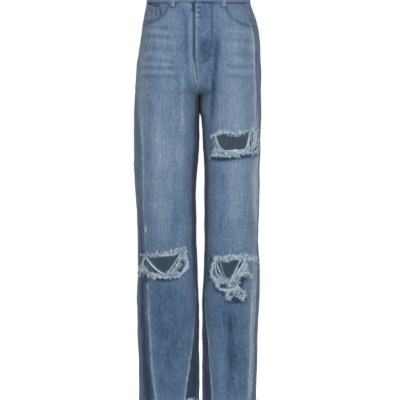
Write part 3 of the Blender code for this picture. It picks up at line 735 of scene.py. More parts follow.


# How washed the denim is, and where shade is painted on it: patches and streaks laid on, seen from the front
washAndShading = {
    "base": 0.46,
    "patches": {  # x, z, wide, tall, amount
        ("right", front): [
            (-92, -420, 44, 220, 0.22), (-96, -620, 44, 80, 0.05), (-96, -130, 40, 70, 0.14),
            (-86, -900, 60, 170, -0.22), (-96, -975, 14, 40, 0.10), (-20, -470, 20, 260, -0.05),
            (-154, -260, 15, 150, 0.22),
        ],
        ("left", front): [
            (92, -330, 42, 150, 0.26), (96, -560, 42, 150, 0.22), (88, -130, 34, 70, 0.15),
            (10, -112, 26, 84, -0.13), (15, -168, 17, 22, -0.30), (70, -900, 50, 180, -0.18),
            (108, -960, 20, 120, -0.06), (24, -470, 18, 260, -0.05), (18, -320, 16, 50, 0.20),
            (142, -130, 14, 90, 0.20), (58, -980, 20, 110, 0.12), (134, -960, 8, 140, 0.16),
        ],
        ("right", back): [
            (-86, -240, 46, 70, 0.26), (-86, -480, 44, 180, 0.14), (-86, -900, 50, 150, -0.16),
        ],
        ("left", back): [
            (86, -240, 46, 70, 0.26), (86, -480, 44, 180, 0.14), (86, -900, 50, 150, -0.16),
        ],
    },
    "streaks": {  # line of x and z, width, amount
        ("right", front): [
            ([(-145, -104), (-110, -106), (-72, -110)], 4.0, -0.16),
            ([(-146, -115), (-105, -116), (-66, -121)], 3.5, 0.13),
            ([(-147, -127), (-110, -129), (-68, -134)], 4.0, -0.16),
            ([(-148, -138), (-100, -141), (-56, -151)], 4.5, 0.13),
            ([(-150, -157), (-100, -161), (-62, -169)], 4.0, -0.12),
            ([(-154, -171), (-112, -176), (-60, -190)], 4.5, 0.15),
            ([(-155, -187), (-105, -191), (-56, -197)], 4.0, -0.15),
            ([(-156, -197), (-100, -201), (-52, -204)], 3.5, 0.10),
            ([(-156, -209), (-105, -211), (-56, -213)], 4.5, -0.18),
            ([(-158, -221), (-100, -222), (-48, -224)], 4.0, 0.14),
            ([(-158, -232), (-105, -234), (-60, -235)], 4.5, -0.15),
            ([(-43, -215), (-44, -300), (-43, -375)], 4.5, 0.20),
            ([(-52, -280), (-50, -360), (-48, -440), (-46, -520)], 10.0, 0.16),
            ([(-56, -190), (-56, -300), (-54, -410)], 5.0, -0.12),
            ([(-22, -70), (-23, -188), (-20, -236)], 4.0, 0.22),
            ([(-50, -43), (-38, -44), (-27, -48), (-20, -56)], 2.8, 0.34),
            ([(-48, -46), (-38, -80), (-34, -140), (-33, -215)], 6.0, -0.13),
            ([(-150, -300), (-146, -450), (-145, -640)], 3.0, 0.20),
            ([(-140, -617), (-139, -635)], 2.4, 0.55), ([(-137, -768), (-136, -786)], 2.4, 0.60),
            ([(-112, -300), (-108, -420), (-112, -560)], 12.0, 0.10),
            ([(-66, -520), (-62, -590), (-70, -660)], 10.0, -0.12),
            ([(-128, -800), (-122, -900), (-112, -1050)], 8.0, 0.08),
        ],
        ("left", front): [
            ([(141, -230), (141, -400), (138, -600)], 11.0, 0.18),
            ([(62, -113), (108, -116), (143, -120)], 3.5, 0.15),
            ([(58, -133), (108, -139), (147, -140)], 4.5, -0.12),
            ([(64, -150), (110, -155), (148, -154)], 4.0, 0.11),
            ([(62, -172), (112, -176), (150, -174)], 4.0, -0.10),
            ([(66, -188), (118, -193), (152, -193)], 4.0, 0.11),
            ([(60, -205), (110, -208), (153, -206)], 4.5, -0.17),
            ([(62, -219), (110, -221), (152, -220)], 4.0, 0.11),
            ([(58, -231), (110, -234), (150, -232)], 4.5, -0.14),
            # painted shade of the fold beside the fly, down the thigh
            ([(42, -108), (44, -140), (43, -190), (39, -240), (34, -300), (29, -372)], 8.0, -0.36),
            # the short pale and dark dashes by the fly's edge are painted light and shade of its puckers
            ([(18, -215), (17, -260), (19, -330)], 5.0, -0.10), ([(-8, -47), (1, -49)], 2.4, 0.30),
            ([(-8, -60), (2, -62)], 2.4, 0.30), ([(-8, -73), (2, -75)], 2.4, 0.30),
            ([(-8, -86), (3, -88)], 2.4, 0.26), ([(-8, -98), (2, -100)], 2.4, 0.22),
            ([(-8, -54), (4, -56)], 2.4, -0.24), ([(-8, -67), (4, -69)], 2.4, -0.24),
            ([(-8, -80), (4, -82)], 2.4, -0.24), ([(-2, -128), (14, -122), (24, -108)], 3.5, 0.14),
            ([(0, -150), (12, -147), (20, -138)], 3.5, -0.16),
            # painted shade of the shin's long fold
            ([(76, -835), (80, -900), (80, -990), (75, -1064)], 10.0, -0.20),
            ([(139, -60), (147, -160), (149, -300), (149, -440), (144, -560), (140, -660)], 6.5, 0.36),
            ([(140, -650), (138, -720), (136, -800), (135, -930), (130, -1064)], 6.5, 0.22),
            ([(60, -470), (64, -560), (58, -660)], 10.0, -0.10),
        ],
        ("right", back): [
            ([(-150, -236), (-96, -243), (-40, -240)], 5.0, 0.16),
            ([(-148, -700), (-90, -706), (-30, -702)], 5.0, 0.14),
            ([(-146, -716), (-94, -722), (-34, -718)], 5.0, -0.14),
            ([(-146, -733), (-88, -740), (-38, -734)], 5.0, 0.12),
        ],
        ("left", back): [
            ([(150, -236), (96, -243), (40, -240)], 5.0, 0.16),
            ([(144, -698), (90, -704), (32, -700)], 5.0, 0.14),
            ([(144, -714), (94, -720), (34, -716)], 5.0, -0.14),
            ([(144, -731), (88, -738), (38, -732)], 5.0, 0.12),
        ],
    },
    # painted shade along the inner leg edges, fly, waist seam and pockets, and painted shadow under the rips'
    # fringes
    "shadows": {  # line, width, depth: dark edges, and the shade under what hangs
        ("right", front): [
            ([(-132, -42), (-12, -42)], 2.4, 0.5),
            ([(-14.5, -40), (-14.5, -130), (-13.5, -190)], 2.4, 0.9),
            ([(-4, -290), (-5, -396), (-10, -460), (-13, -560), (-10, -700), (-6, -812), (-5, -1060)],
             6.5, 1.1),
            ([(-15, -40), (-15, -64)], 4.0, 1.2), ([(-131, -43), (-108, -51)], 2.4, 0.9),
            ([(-109, -46), (-103, -58), (-100, -74)], 2.6, 0.9), ([(-128, -60), (-122, -66)], 2.6, 0.5),
            ([(-112, -60), (-112, -74)], 3.0, 0.5),
            ([(-131, -751), (-118, -750), (-104, -756), (-90, -757), (-72, -755), (-58, -750)], 4.8, 1.3),
            ([(-139, -746), (-138, -762)], 5.5, 1.5), ([(-155, -702), (-152, -722)], 9.0, 1.3),
            ([(-60, -705), (-46, -713)], 3.0, 0.5), ([(-52, -740), (-36, -726)], 3.5, 0.6),
        ],
        ("left", front): [
            ([(-12, -42), (128, -42)], 2.4, 0.5), ([(33, -44), (32, -120), (31.5, -155)], 2.2, 0.45),
            ([(28, -176), (20, -190), (4, -197)], 2.4, 0.5),
            ([(8, -330), (12, -400), (16, -470), (17, -560), (16, -700), (11, -812), (11, -1060)],
             5.0, 0.8),
            ([(34, -443), (60, -447), (80, -444), (104, -441), (130, -436), (146, -435)], 6.0, 1.4),
            ([(118, -383), (133, -381)], 3.0, 0.5), ([(137, -398), (137, -404)], 2.4, 1.1),
            ([(30, -420), (40, -428), (60, -433)], 3.0, 0.45),
            ([(116, -752), (107, -762), (101, -777)], 8.0, 1.1), ([(116, -747), (130, -750)], 4.0, 0.9),
            ([(72, -812), (95, -815), (118, -811)], 4.6, 1.0), ([(84, -804), (98, -807)], 4.5, 1.0),
            ([(38, -772), (48, -786), (62, -795)], 4.5, 0.6), ([(22, -735), (24, -760)], 4.0, 0.6),
            ([(31, -704), (27, -728)], 5.0, 0.5), ([(56, -774), (65, -776)], 6.0, 1.3),
        ],
        ("right", back): [
            ([(-132, -42), (0, -42)], 2.4, 0.55),
        ],
        ("left", back): [
            ([(0, -42), (126, -42)], 2.4, 0.55),
        ],
    },
}


# The strips of the back that show from the front, beside the side seam and inside the leg: painted shade
# where they turn away and between the legs, and a lighter band beside the side seam
sideShadeAndPale = {
    "right": rowsOf(
        "z dark at wide pale inner deep",
        [(-40, 0.15, 10, 12, 0, 0, 14), (-255, 0.15, 10, 12, 0, 0, 14), (-282, 0.15, 10, 12, 0, 1.2, 20),
         (-345, 0.15, 10, 12, 0, 1.2, 20), (-390, 0.15, 10, 12, 0, 0.3, 12), (-500, 0.15, 10, 12, 0, 0, 12),
         (-640, 0.5, 12, 14, 0, 0.2, 12), (-720, 0.75, 14, 16, 0, 0.8, 12),
         (-900, 0.85, 14, 16, 0, 0.9, 14),
         (-1064, 0.9, 15, 18, 0, 0.95, 26)],
    ),
    "left": rowsOf(
        "z dark at wide pale inner deep",
        [(-40, 0.5, 4, 4.5, 0, 0, 14), (-255, 0.5, 4, 4.5, 0, 0, 14), (-282, 0.5, 4, 4.5, 0, 1.2, 20),
         (-345, 0.2, 4, 4.5, 0.4, 1.2, 20), (-390, 0.05, 4, 4.5, 0.7, 0.4, 12),
         (-600, 0.05, 4, 4.5, 0.7, 0.2, 12),
         (-690, 0.3, 12, 6, 0.05, 0.7, 12), (-790, 0.25, 16, 6, 0.25, 0.85, 12),
         (-1064, 0.25, 16, 6, 0.35, 0.95, 20)],
    ),
}


def shadeSides(half, x, z, fromSide, fromInside, values):
    at = lambda column: straight(sideShadeAndPale[half], column, z)
    # painted shade on the strips beside the side seam and inside the leg
    beside = at("dark") * bell(fromSide - at("at"), at("wide"))
    inside = at("inner") * (1.0 - ease((fromInside - at("deep")) / at("deep")))
    # the front's rip shade and fray go on for 14 mm past the side seam
    strip = bell(np.maximum(fromSide - 14.0, 0.0), 5.0)
    frontShadeAndFray = finishAndShadeValues(half, front, x, z, fromSide, fromInside)
    shade = np.maximum(values["shade"], strip * frontShadeAndFray["shade"])
    values["shade"] = np.maximum(shade, np.maximum(beside, inside))
    inStrip = ease((fromInside - 3.0) / 4.0) * ease((34.0 - fromInside) / 6.0)
    paleHem = ease((-1062.0 - z) / 5.0) * inStrip
    values["fray"] = np.maximum(strip * frontShadeAndFray["fray"], paleHem if half == "right" else 0.0)
    values["washAndShading"] = values["washAndShading"] + at("pale") * bell(fromSide - 5.0, 5.5)


def backPocketLine(half):
    # down the near side and up the far one
    side, rows = sideOf[half], backPocketRows
    near, far = (list(zip(side * rows[key], rows["z"])) for key in ("near", "far"))
    return near[::-1] + far


def awayFromArea(polygon, x, z):
    away = awayFromLine(polygon + polygon[:1], x, z)[0]
    return np.where(insidePolygon(polygon, x, z), 0.0, away)


def finishAndShadeValues(half, face, x, z, fromStart, fromEnd):
    here = half, face
    value = np.full(np.shape(x), washAndShading["base"])
    for px, pz, wide, tall, amount in washAndShading["patches"][here]:
        value = value + amount * np.exp(-(((x - px) / wide) ** 2) - (((z - pz) / tall) ** 2))
    for line, width, amount in washAndShading["streaks"][here]:
        away, along = awayFromLine(line, x, z)
        fade = ease(along / 0.18) * ease((1.0 - along) / 0.18)
        value = value + amount * bell(away, width) * np.maximum(fade, 0.25)
    # painted shade: dark edges and the shadows under what hangs, from the table
    shade, fray = np.zeros(np.shape(x)), np.zeros(np.shape(x))
    for line, width, amount in washAndShading["shadows"][here]:
        shade = np.maximum(shade, amount * bell(awayFromLine(line, x, z)[0], width))
    if face == front:
        # a band of painted shade along each pocket mouth
        away = awayFromLine(mouthLine(half, 4.8), x, z)[0]
        shade = np.maximum(shade, 0.5 * bell(away, 4.0))
        # painted shadow beside and under the front belt loops
        for loop in beltLoops:
            if loop[3] == front:
                away = np.hypot(np.maximum(np.abs(x - loop[4]) - 6.0, 0.0), np.maximum(-52.0 - z, 0.0))
                shade = np.maximum(shade, 0.8 * bell(away, 2.6))
    else:
        # painted shade round the back pockets
        shade = np.maximum(shade, 0.8 * bell(awayFromLine(backPocketLine(half), x, z)[0], 3.4))
    for key, spec in rips.items():
        if face == front and spec["half"] == half:
            for polygon, *_ in frays[key]["tangles"]:
                fray = np.maximum(fray, 0.66 * bell(awayFromArea(polygon, x, z), 2.2))
            # painted shade where the cloth or the hole shows between the threads
            for polygon in frays[key]["clear"]:
                shade = np.maximum(shade, 1.2 * bell(awayFromArea(polygon, x, z), 2.0))
    fray = fray * (1.0 - 0.8 * np.clip(shade, 0.0, 1.0))
    lower = ease((-620.0 - z) / 160.0)  # more worn below the knee
    wear = (0.6 + 0.5 * lower) * bell(np.minimum(fromStart, fromEnd) - 3.6, 2.9 + 0.9 * lower)
    wear = wear + 0.5 * bell(z - body["hem"], 3.0)
    return {"washAndShading": value, "wear": wear, "shade": shade, "fray": fray}


# Materials
def newNode(tree, kind, **values):
    node = tree.nodes.new(kind)
    for key, value in values.items():
        setattr(node, key, value)
    return node


def feed(tree, socket, value):
    # a socket takes another node's output or a plain value
    if isinstance(value, bpy.types.NodeSocket):
        tree.links.new(value, socket)
    else:
        socket.default_value = value


def feedAll(tree, node, values):
    for label, value in values.items():
        feed(tree, node.inputs[label], value)


def calc(tree, operation, a, b=0.0, c=0.0, clamp=False):
    node = newNode(tree, "ShaderNodeMath", operation=operation, use_clamp=clamp)
    for socket, value in zip(node.inputs, (a, b, c)):
        feed(tree, socket, value)
    return node.outputs[0]


def times(tree, a, b, clamp=False):
    return calc(tree, "MULTIPLY", a, b, clamp=clamp)


def plus(tree, a, b):
    return calc(tree, "ADD", a, b)


def minus(tree, a, b):
    return calc(tree, "SUBTRACT", a, b)


def combine(tree, x, y):
    node = newNode(tree, "ShaderNodeCombineXYZ")
    feedAll(tree, node, {"X": x, "Y": y})
    return node.outputs[0]


def noise(tree, vector, scale=1.0, detail=2.0, roughness=0.5):
    node = newNode(tree, "ShaderNodeTexNoise")
    feedAll(tree, node, {"Vector": vector, "Scale": scale, "Detail": detail, "Roughness": roughness})
    return node.outputs["Fac"]


def mixColour(tree, share, a, b):
    node = newNode(tree, "ShaderNodeMix", data_type="RGBA")
    feed(tree, node.inputs[0], share)
    feed(tree, node.inputs[6], a)
    feed(tree, node.inputs[7], b)
    return node.outputs[2]


def ramp(tree, value, stops):
    node = newNode(tree, "ShaderNodeValToRGB")
    feed(tree, node.inputs[0], value)
    elements = node.color_ramp.elements
    while len(elements) < len(stops):
        elements.new(0.5)
    for element, (place, colour) in zip(elements, stops):
        element.position = place
        element.color = (*colour, 1.0)
    return node.outputs["Color"]


def newGroup(name, inputs, outputs):
    group = bpy.data.node_groups.new(name, "ShaderNodeTree")
    for label, kind, value in inputs:
        socket = group.interface.new_socket(name=label, in_out="INPUT", socket_type=kind)
        if value is not None:
            socket.default_value = value
    for label, kind in outputs:
        group.interface.new_socket(name=label, in_out="OUTPUT", socket_type=kind)
    return group, newNode(group, "NodeGroupInput"), newNode(group, "NodeGroupOutput")


def makeTwillGroup():
    # diagonal twill lines, broken where each weft thread passes over
    group, start, end = newGroup(
        "twillWeave",
        [("Place", "NodeSocketVector", None), ("Pitch mm", "NodeSocketFloat", 1.1)],
        [("Lines", "NodeSocketFloat"), ("Height", "NodeSocketFloat")],
    )
    place, pitch = start.outputs["Place"], start.outputs["Pitch mm"]
    split = newNode(group, "ShaderNodeSeparateXYZ")
    feed(group, split.inputs[0], place)
    across, down = (times(group, split.outputs[k], 6283.0) for k in (0, 1))  # a turn for each mm
    wander = noise(group, place, 900.0, 1.0)
    slant = minus(group, times(group, across, 0.86), times(group, down, 0.5))
    slant = plus(group, calc(group, "DIVIDE", slant, pitch), times(group, wander, 3.0))
    lines = calc(group, "MULTIPLY_ADD", calc(group, "SINE", slant), 0.5, 0.5)
    beat = calc(group, "DIVIDE", down, times(group, pitch, 0.55))
    threads = calc(group, "MULTIPLY_ADD", calc(group, "SINE", beat), 0.5, 0.5)
    height = times(group, lines, calc(group, "MULTIPLY_ADD", threads, 0.4, 0.6))
    feedAll(group, end, {"Lines": lines, "Height": height})
    return group


def makeSlubGroup():
    # uneven yarn: long streaks down the cloth, short ones across it, and blotches
    labels = ("Streaks", "Fine", "Blotches", "Clouds")
    group, start, end = newGroup(
        "slubYarn", [("Place", "NodeSocketVector", None)], [(label, "NodeSocketFloat") for label in labels]
    )
    place = start.outputs["Place"]
    split = newNode(group, "ShaderNodeSeparateXYZ")
    feed(group, split.inputs[0], place)

    def stretched(across, down, detail):
        u, v = times(group, split.outputs[0], across), times(group, split.outputs[1], down)
        return noise(group, combine(group, u, v), 1.0, detail)

    feedAll(group, end, {
        "Streaks": stretched(210.0, 17.0, 3.0),
        "Fine": times(group, plus(group, stretched(620.0, 60.0, 2.0), stretched(70.0, 640.0, 2.0)), 0.5),
        "Blotches": noise(group, place, 120.0, 4.0, 0.6),
        "Clouds": noise(group, place, 17.0, 2.0),
    })
    return group


twillGroup = makeTwillGroup()
slubGroup = makeSlubGroup()


def useGroup(tree, group, values):
    node = newNode(tree, "ShaderNodeGroup", node_tree=group)
    feedAll(tree, node, values)
    return node.outputs


def clothUv(tree):
    return newNode(tree, "ShaderNodeUVMap", uv_map="cloth").outputs["UV"]


def valueOf(tree, name):
    return newNode(tree, "ShaderNodeAttribute", attribute_name=name).outputs["Fac"]


def newMaterial(name, roughness):
    material = bpy.data.materials.new(name)
    material.use_nodes = True
    shader = material.node_tree.nodes["Principled BSDF"]
    shader.inputs["Roughness"].default_value = roughness
    return material, material.node_tree, shader


def addBump(tree, shader, height, strength, distance):
    bump = newNode(tree, "ShaderNodeBump")
    feedAll(tree, bump, {"Strength": strength, "Distance": distance, "Height": height})
    feed(tree, shader.inputs["Normal"], bump.outputs["Normal"])


indigo = [
    (0.0, (0.020, 0.042, 0.085)),
    (0.25, (0.050, 0.102, 0.182)),
    (0.5, (0.108, 0.176, 0.276)),
    (0.78, (0.190, 0.268, 0.360)),
    (1.0, (0.330, 0.410, 0.480)),
]
denimLook = {
    "twillPitch": 1.1,
    "yarn": {"Streaks": 0.46, "Fine": 0.62, "Blotches": 0.50, "Clouds": 0.34},
    "lines": 0.10,
    "wear": 0.42,
    "shade": 0.62,
    "frayWhite": (0.46, 0.56, 0.64, 1.0),
}


def centred(tree, value, amount):
    # a noise about its middle, times an amount
    return times(tree, minus(tree, value, 0.5), amount)


def weaveOf(tree, pitch):
    place = clothUv(tree)
    twill = useGroup(tree, twillGroup, {"Place": place, "Pitch mm": pitch})
    return twill, useGroup(tree, slubGroup, {"Place": place})


def makeDenim(name, look):
    # how pale it is: the wash with its painted light and shade of folds and puckers, the yarn's unevenness
    # and the wear, less the painted shade
    material, tree, shader = newMaterial(name, 0.92)
    twill, slubs = weaveOf(tree, look["twillPitch"])
    blotches = slubs["Blotches"]
    value = valueOf(tree, "washAndShading")
    for label, amount in look["yarn"].items():
        value = plus(tree, value, centred(tree, slubs[label], amount))
    value = plus(tree, value, centred(tree, twill["Lines"], look["lines"]))
    worn = times(tree, valueOf(tree, "wear"), plus(tree, blotches, 0.35))
    value = plus(tree, value, times(tree, worn, look["wear"]))
    dark = times(tree, valueOf(tree, "shade"), plus(tree, blotches, 0.5))
    value = minus(tree, value, times(tree, dark, look["shade"]))
    hairs = plus(tree, valueOf(tree, "fray"), centred(tree, blotches, 4.0))
    hairs = times(tree, hairs, times(tree, valueOf(tree, "fray"), 1.4), clamp=True)
    feedAll(tree, shader, {
        "Base Color": mixColour(tree, hairs, ramp(tree, value, indigo), look["frayWhite"]),
        "Specular IOR Level": 0.2,
        "Sheen Weight": 0.12,
        "Sheen Roughness": 0.6,
    })
    height = plus(tree, times(tree, twill["Height"], 0.5), times(tree, blotches, 0.5))
    addBump(tree, shader, height, 0.35, 0.0006)
    return material


insideLook = {"pale": (0.40, 0.45, 0.50), "dark": (0.20, 0.25, 0.31), "twillPitch": 1.3, "paintedGlow": 0.052}
edgeLook = {"pale": (0.50, 0.58, 0.64), "dark": (0.16, 0.23, 0.33), "twillPitch": 0.9, "paintedGlow": 0.0}


def makeInside(name, look):
    # the wrong side: more white weft than blue warp, with faint lines across
    material, tree, shader = newMaterial(name, 0.95)
    twill, slubs = weaveOf(tree, look["twillPitch"])
    value = plus(tree, times(tree, twill["Lines"], 0.35), times(tree, slubs["Fine"], 0.65))
    feedAll(tree, shader, {
        "Base Color": ramp(tree, value, [(0.2, look["dark"]), (0.8, look["pale"])]),
        "Emission Color": (0.58, 0.76, 1.0, 1.0),  # a faint painted glow, as if a little light came through the cloth from outside
        "Emission Strength": look["paintedGlow"],
    })
    addBump(tree, shader, twill["Height"], 0.3, 0.0005)
    return material


def objectPlace(tree):
    return newNode(tree, "ShaderNodeTexCoord").outputs["Object"]


def makeYarn(name, dark, pale, roughness=0.9):
    # loose cotton yarn; tone differs from thread to thread
    material, tree, shader = newMaterial(name, roughness)
    place = objectPlace(tree)
    mottle = times(tree, noise(tree, place, 700.0, 2.0), 0.3)
    value = plus(tree, times(tree, valueOf(tree, "tone"), 0.75), mottle)
    feed(tree, shader.inputs["Base Color"], ramp(tree, value, [(0.1, dark), (0.95, pale)]))
    addBump(tree, shader, noise(tree, place, 2600.0, 1.0), 0.3, 0.0003)
    return material


def makeBrass(name):
    material, tree, shader = newMaterial(name, 0.42)
    place = objectPlace(tree)
    wornAway = noise(tree, place, 420.0, 4.0, 0.65)
    feedAll(tree, shader, {
        "Metallic": 1.0,
        "Base Color": ramp(tree, wornAway, [(0.35, (0.20, 0.15, 0.09)), (0.62, (0.46, 0.36, 0.22))]),
        "Roughness": calc(tree, "MULTIPLY_ADD", wornAway, -0.3, 0.6),
    })
    addBump(tree, shader, noise(tree, place, 1500.0, 2.0), 0.15, 0.0002)
    return material


def makeFloorFinish(name):
    material, tree, shader = newMaterial(name, 0.8)
    grain = noise(tree, objectPlace(tree), 3.0, 2.0)
    # lit up for the camera alone, so it throws no light on the cloth
    seen = newNode(tree, "ShaderNodeLightPath").outputs["Is Camera Ray"]
    feedAll(tree, shader, {
        "Base Color": ramp(tree, grain, [(0.3, (0.86, 0.86, 0.86)), (0.7, (0.88, 0.88, 0.88))]),
        "Emission Color": (1.0, 1.0, 1.0, 1.0),
        "Emission Strength": times(tree, seen, 0.9),
    })
    return material


denim = makeDenim("washedDenim", denimLook)
inside = makeInside("denimInside", insideLook)
edge = makeInside("rawEdge", edgeLook)
whiteYarn = makeYarn("whiteWeft", (0.12, 0.23, 0.43), (0.86, 1.0, 1.0))
blueYarn = makeYarn("blueWarp", (0.03, 0.065, 0.13), (0.16, 0.25, 0.37))
tanThread = makeYarn("tanSewingThread", (0.11, 0.10, 0.09), (0.36, 0.31, 0.24), 0.7)
greyThread = makeYarn("greySewingThread", (0.14, 0.19, 0.25), (0.42, 0.49, 0.55), 0.7)
brass = makeBrass("agedBrass")
cloth = [denim, inside, edge]  # outer face, inner face, cut edges
print("materials done")


# Patches: a grid of x and z laid on the cloth
def makePatch(name, half, face, grid, lift, thickness, finish=None):
    # finish: values of its own in place of those of the cloth beneath
    x, z = grid
    points = placeOn(half, face, x, z, lift)
    if name == "flyFacing":  # it spans both fronts
        onRight = (x < curve(trunk, "fly", z))[..., None]
        points = np.where(onRight, placeOn("right", face, x, z, lift), points)
    across = np.linalg.norm(np.diff(points, axis=1), axis=-1)
    along = np.concatenate([np.zeros((len(points), 1)), np.cumsum(across, axis=1)], axis=1)
    uv = np.stack([along - along[:, -1:] / 2 + 2000.0, z], axis=-1)
    values = finishAndShadeValues(half, face, x, z, along + 6.0, along[:, -1:] - along + 6.0)
    values.update(finish or {})
    return clothSheet(name, points, uv, values, thickness, face)


def gridBetween(near, far, z, columns):
    x = near[:, None] + (far - near)[:, None] * np.linspace(0.0, 1.0, columns)
    return x, z[:, None] + 0.0 * x


behindFronts = -body["denim"] - body["clear"]  # the outer face of a piece behind them
onBack = body["clear"] + body["thinDenim"]  # the outer face of a back pocket


backPocketRows = rowsOf(
    "z near far",
    [(-134, 26, 123), (-160, 27, 123), (-190, 29, 121), (-220, 31, 118), (-243, 34, 114), (-256, 52, 98),
     (-265, 70, 80)],
)


def makeBackPocket(half):
    z = np.linspace(-134, -265, 44)
    near, far = (sideOf[half] * straight(backPocketRows, key, z) for key in ("near", "far"))
    grid = gridBetween(near, far, z, 33)
    return makePatch("backPocket" + half.title(), half, back, grid, onBack, body["thinDenim"], {"shade": 0.0})


def makeFacing(half):
    mouth, side = mouths[half], sideOf[half]
    wide, deep = mouth["wide"] + 24.0, mouth["deep"] + 24.0
    turn = 0.92 * math.pi / 2 * np.linspace(0.0, 1.0, 30)
    z = -body["bandHeight"] - 2 * body["gap"] - deep * np.sin(turn)
    near = plainPoint(half, sideSeam(half, z, -1), z)[:, 0]
    far = mouth["corner"] - side * wide * np.cos(turn)
    grid = gridBetween(near, far, z, 25)
    return makePatch("pocketFacing" + half.title(), half, front, grid, behindFronts, body["thinDenim"])


coin = {"near": -137.0, "far": -106.0, "top": -47.0}


def makeCoinPocket():
    x = np.linspace(coin["near"], coin["far"], 20)
    mouth = mouths["right"]
    share = np.clip(np.abs(x - mouth["corner"]) / mouth["wide"], 0.0, 1.0)
    bottom = -body["bandHeight"] - mouth["deep"] * np.sqrt(1 - share ** 2) + 1.5
    z = coin["top"] + (bottom - coin["top"]) * np.linspace(0.0, 1.0, 16)[:, None]
    lift = body["thinDenim"] - body["denim"]
    return makePatch("coinPocket", "right", front, (x + 0.0 * z, z), lift, body["thinDenim"])


flyRows = rowsOf(
    "z near far",
    [(-41, -32, 31), (-80, -32, 31), (-120, -32, 31), (-150, -31, 29), (-172, -28, 20), (-188, -24, 6),
     (-198, -20, -8)],
)


def makeFlyPiece():
    z = np.linspace(-41, -198, 32)
    near, far = (straight(flyRows, key, z) for key in ("near", "far"))
    grid = gridBetween(near, far, z, 17)
    return makePatch("flyFacing", "left", front, grid, behindFronts, body["thinDenim"])


band = {"wall": 3.0, "proud": 0.8, "underlap": 34.0, "lapLift": 3.5, "stations": 300, "round": 1.1,
        "leftShare": 0.47}


def bandPoint(share, z, lift):
    # share runs from 0 at the left end to 1 at the right end under it
    centre = angleAt("left", body["gap"], z)
    under = angleAt("right", band["underlap"], z)
    behind = 2 * math.pi - angleAt("right", -body["gap"], z)
    turn = band["leftShare"]
    leftAngle = centre + (2 * math.pi - 2 * centre) * share / turn
    rightAngle = behind + (under - behind) * (share - turn) / (1.0 - turn)
    leftPoint, rightPoint = plainPoint("left", leftAngle, z), plainPoint("right", rightAngle, z)
    away = (leftPoint[..., 0] - curve(trunk, "fly", z) - band["underlap"] - 2.0) / 30.0
    over = np.where(leftPoint[..., 1] < 0, band["lapLift"] * (1.0 - ease(away)), 0.0)
    leftPoint = leftPoint + normalAt("left", leftAngle, z) * (band["proud"] + over + lift)[..., None]
    rightPoint = rightPoint + normalAt("right", rightAngle, z) * (band["proud"] + lift)[..., None]
    return np.where((share < turn)[..., None], leftPoint, rightPoint)


def bandSection():
    # heights and depths round the folded band: down its face, round the fold, up inside, round the top
    wall, tall, soft = band["wall"], body["bandHeight"], band["round"]
    flat = [soft + (tall - 2 * soft) * k / 8 for k in range(9)]
    turns = [math.pi * quarter for quarter in (0.25, 0.5, 0.75)]
    section = [(-down, 0.0) for down in flat]
    section += [(-tall + soft - soft * math.sin(a), wall / 2 * (math.cos(a) - 1)) for a in turns]
    section += [(-tall + up, -wall) for up in flat]
    section += [(-soft + soft * math.sin(a), -wall / 2 * (math.cos(a) + 1)) for a in turns]
    return np.array(section).T


def makeWaistband():
    # a folded band: a rounded strip carried round the waist
    level, depth = bandSection()
    share = np.linspace(0.0, 1.0, band["stations"])[:, None]
    z = level + 0.0 * share
    edgeAway = np.minimum(-z, z + body["bandHeight"])
    length = share * 900.0
    beat = np.sin(length / 3.1 + 1.5 * np.sin(length / 17.0))
    relief = 0.28 * beat * bell(edgeAway - 3.5, 2.5) - 0.35 * bell(edgeAway - 2.6, 0.9)
    points = bandPoint(share + 0.0 * z, z, depth + np.where(depth > -0.1, relief, 0.0))
    index = np.arange(z.size).reshape(z.shape)
    after = np.roll(index, -1, axis=1)
    quads = np.stack([index[:-1], after[:-1], after[1:], index[1:]], axis=-1).reshape(-1, 4)
    faces = quads[:, ::-1].tolist() + [index[0].tolist(), index[-1][::-1].tolist()]
    thing = newObject("waistbandCloth", points.reshape(-1, 3), faces, [denim])
    setUvs(thing.data, np.stack([length + 0.0 * z + 3000.0, z], axis=-1).reshape(-1, 2))
    wear = 0.4 * bell(edgeAway - 0.5, 1.5)
    for key, value in {"washAndShading": 0.42, "wear": wear, "shade": 0.0, "fray": 0.0}.items():
        setValue(thing.data, key, np.broadcast_to(value, z.shape).reshape(-1))
    startEditing(thing)
    endEditing(turnOut=True)
    thing.data.shade_smooth()
    return thing


beltLoops = [  # name, node, half, face, x
    ("beltLoopFrontRight", "belt_loop_front_right", "right", front, -69),
    ("beltLoopFrontLeft", "belt_loop_front_left", "left", front, 62),
    ("beltLoopBackRight", "belt_loop_back_right", "right", back, -92),
    ("beltLoopBackLeft", "belt_loop_back_left", "left", back, 96),
    ("beltLoopCentreBack", "belt_loop_centre_back", "left", back, 7),
]
loopShape = {
    "width": 11.0,
    "wall": 1.8,
    "profile": rowsOf("z clear", [(-0.6, 1.2), (-6, 1.5), (-13, 4.0), (-31, 4.0), (-38, 2.6), (-45, 1.3),
                                  (-53, 0.9)]),
}


def makeBeltLoop(name, half, face, x):
    z = np.linspace(-0.6, -53.0, 42)
    across = np.linspace(-0.5, 0.5, 13)
    grid = x + loopShape["width"] * across + 0.0 * z[:, None], z[:, None] + 0.0 * across
    crown = 0.5 * (1 - (2 * np.abs(across)) ** 4)
    lift = straight(loopShape["profile"], "clear", z)[:, None] + loopShape["wall"] - 0.5 + crown
    edgeWear = 0.5 * bell(0.5 - np.abs(across), 0.12) + 0.0 * grid[0]
    finish = {"washAndShading": 0.62, "shade": 0.0, "wear": edgeWear, "fray": 0.12}
    return makePatch(name, half, face, grid, lift, loopShape["wall"] - 0.3, finish)


# Threads
draw = np.random.default_rng(7)


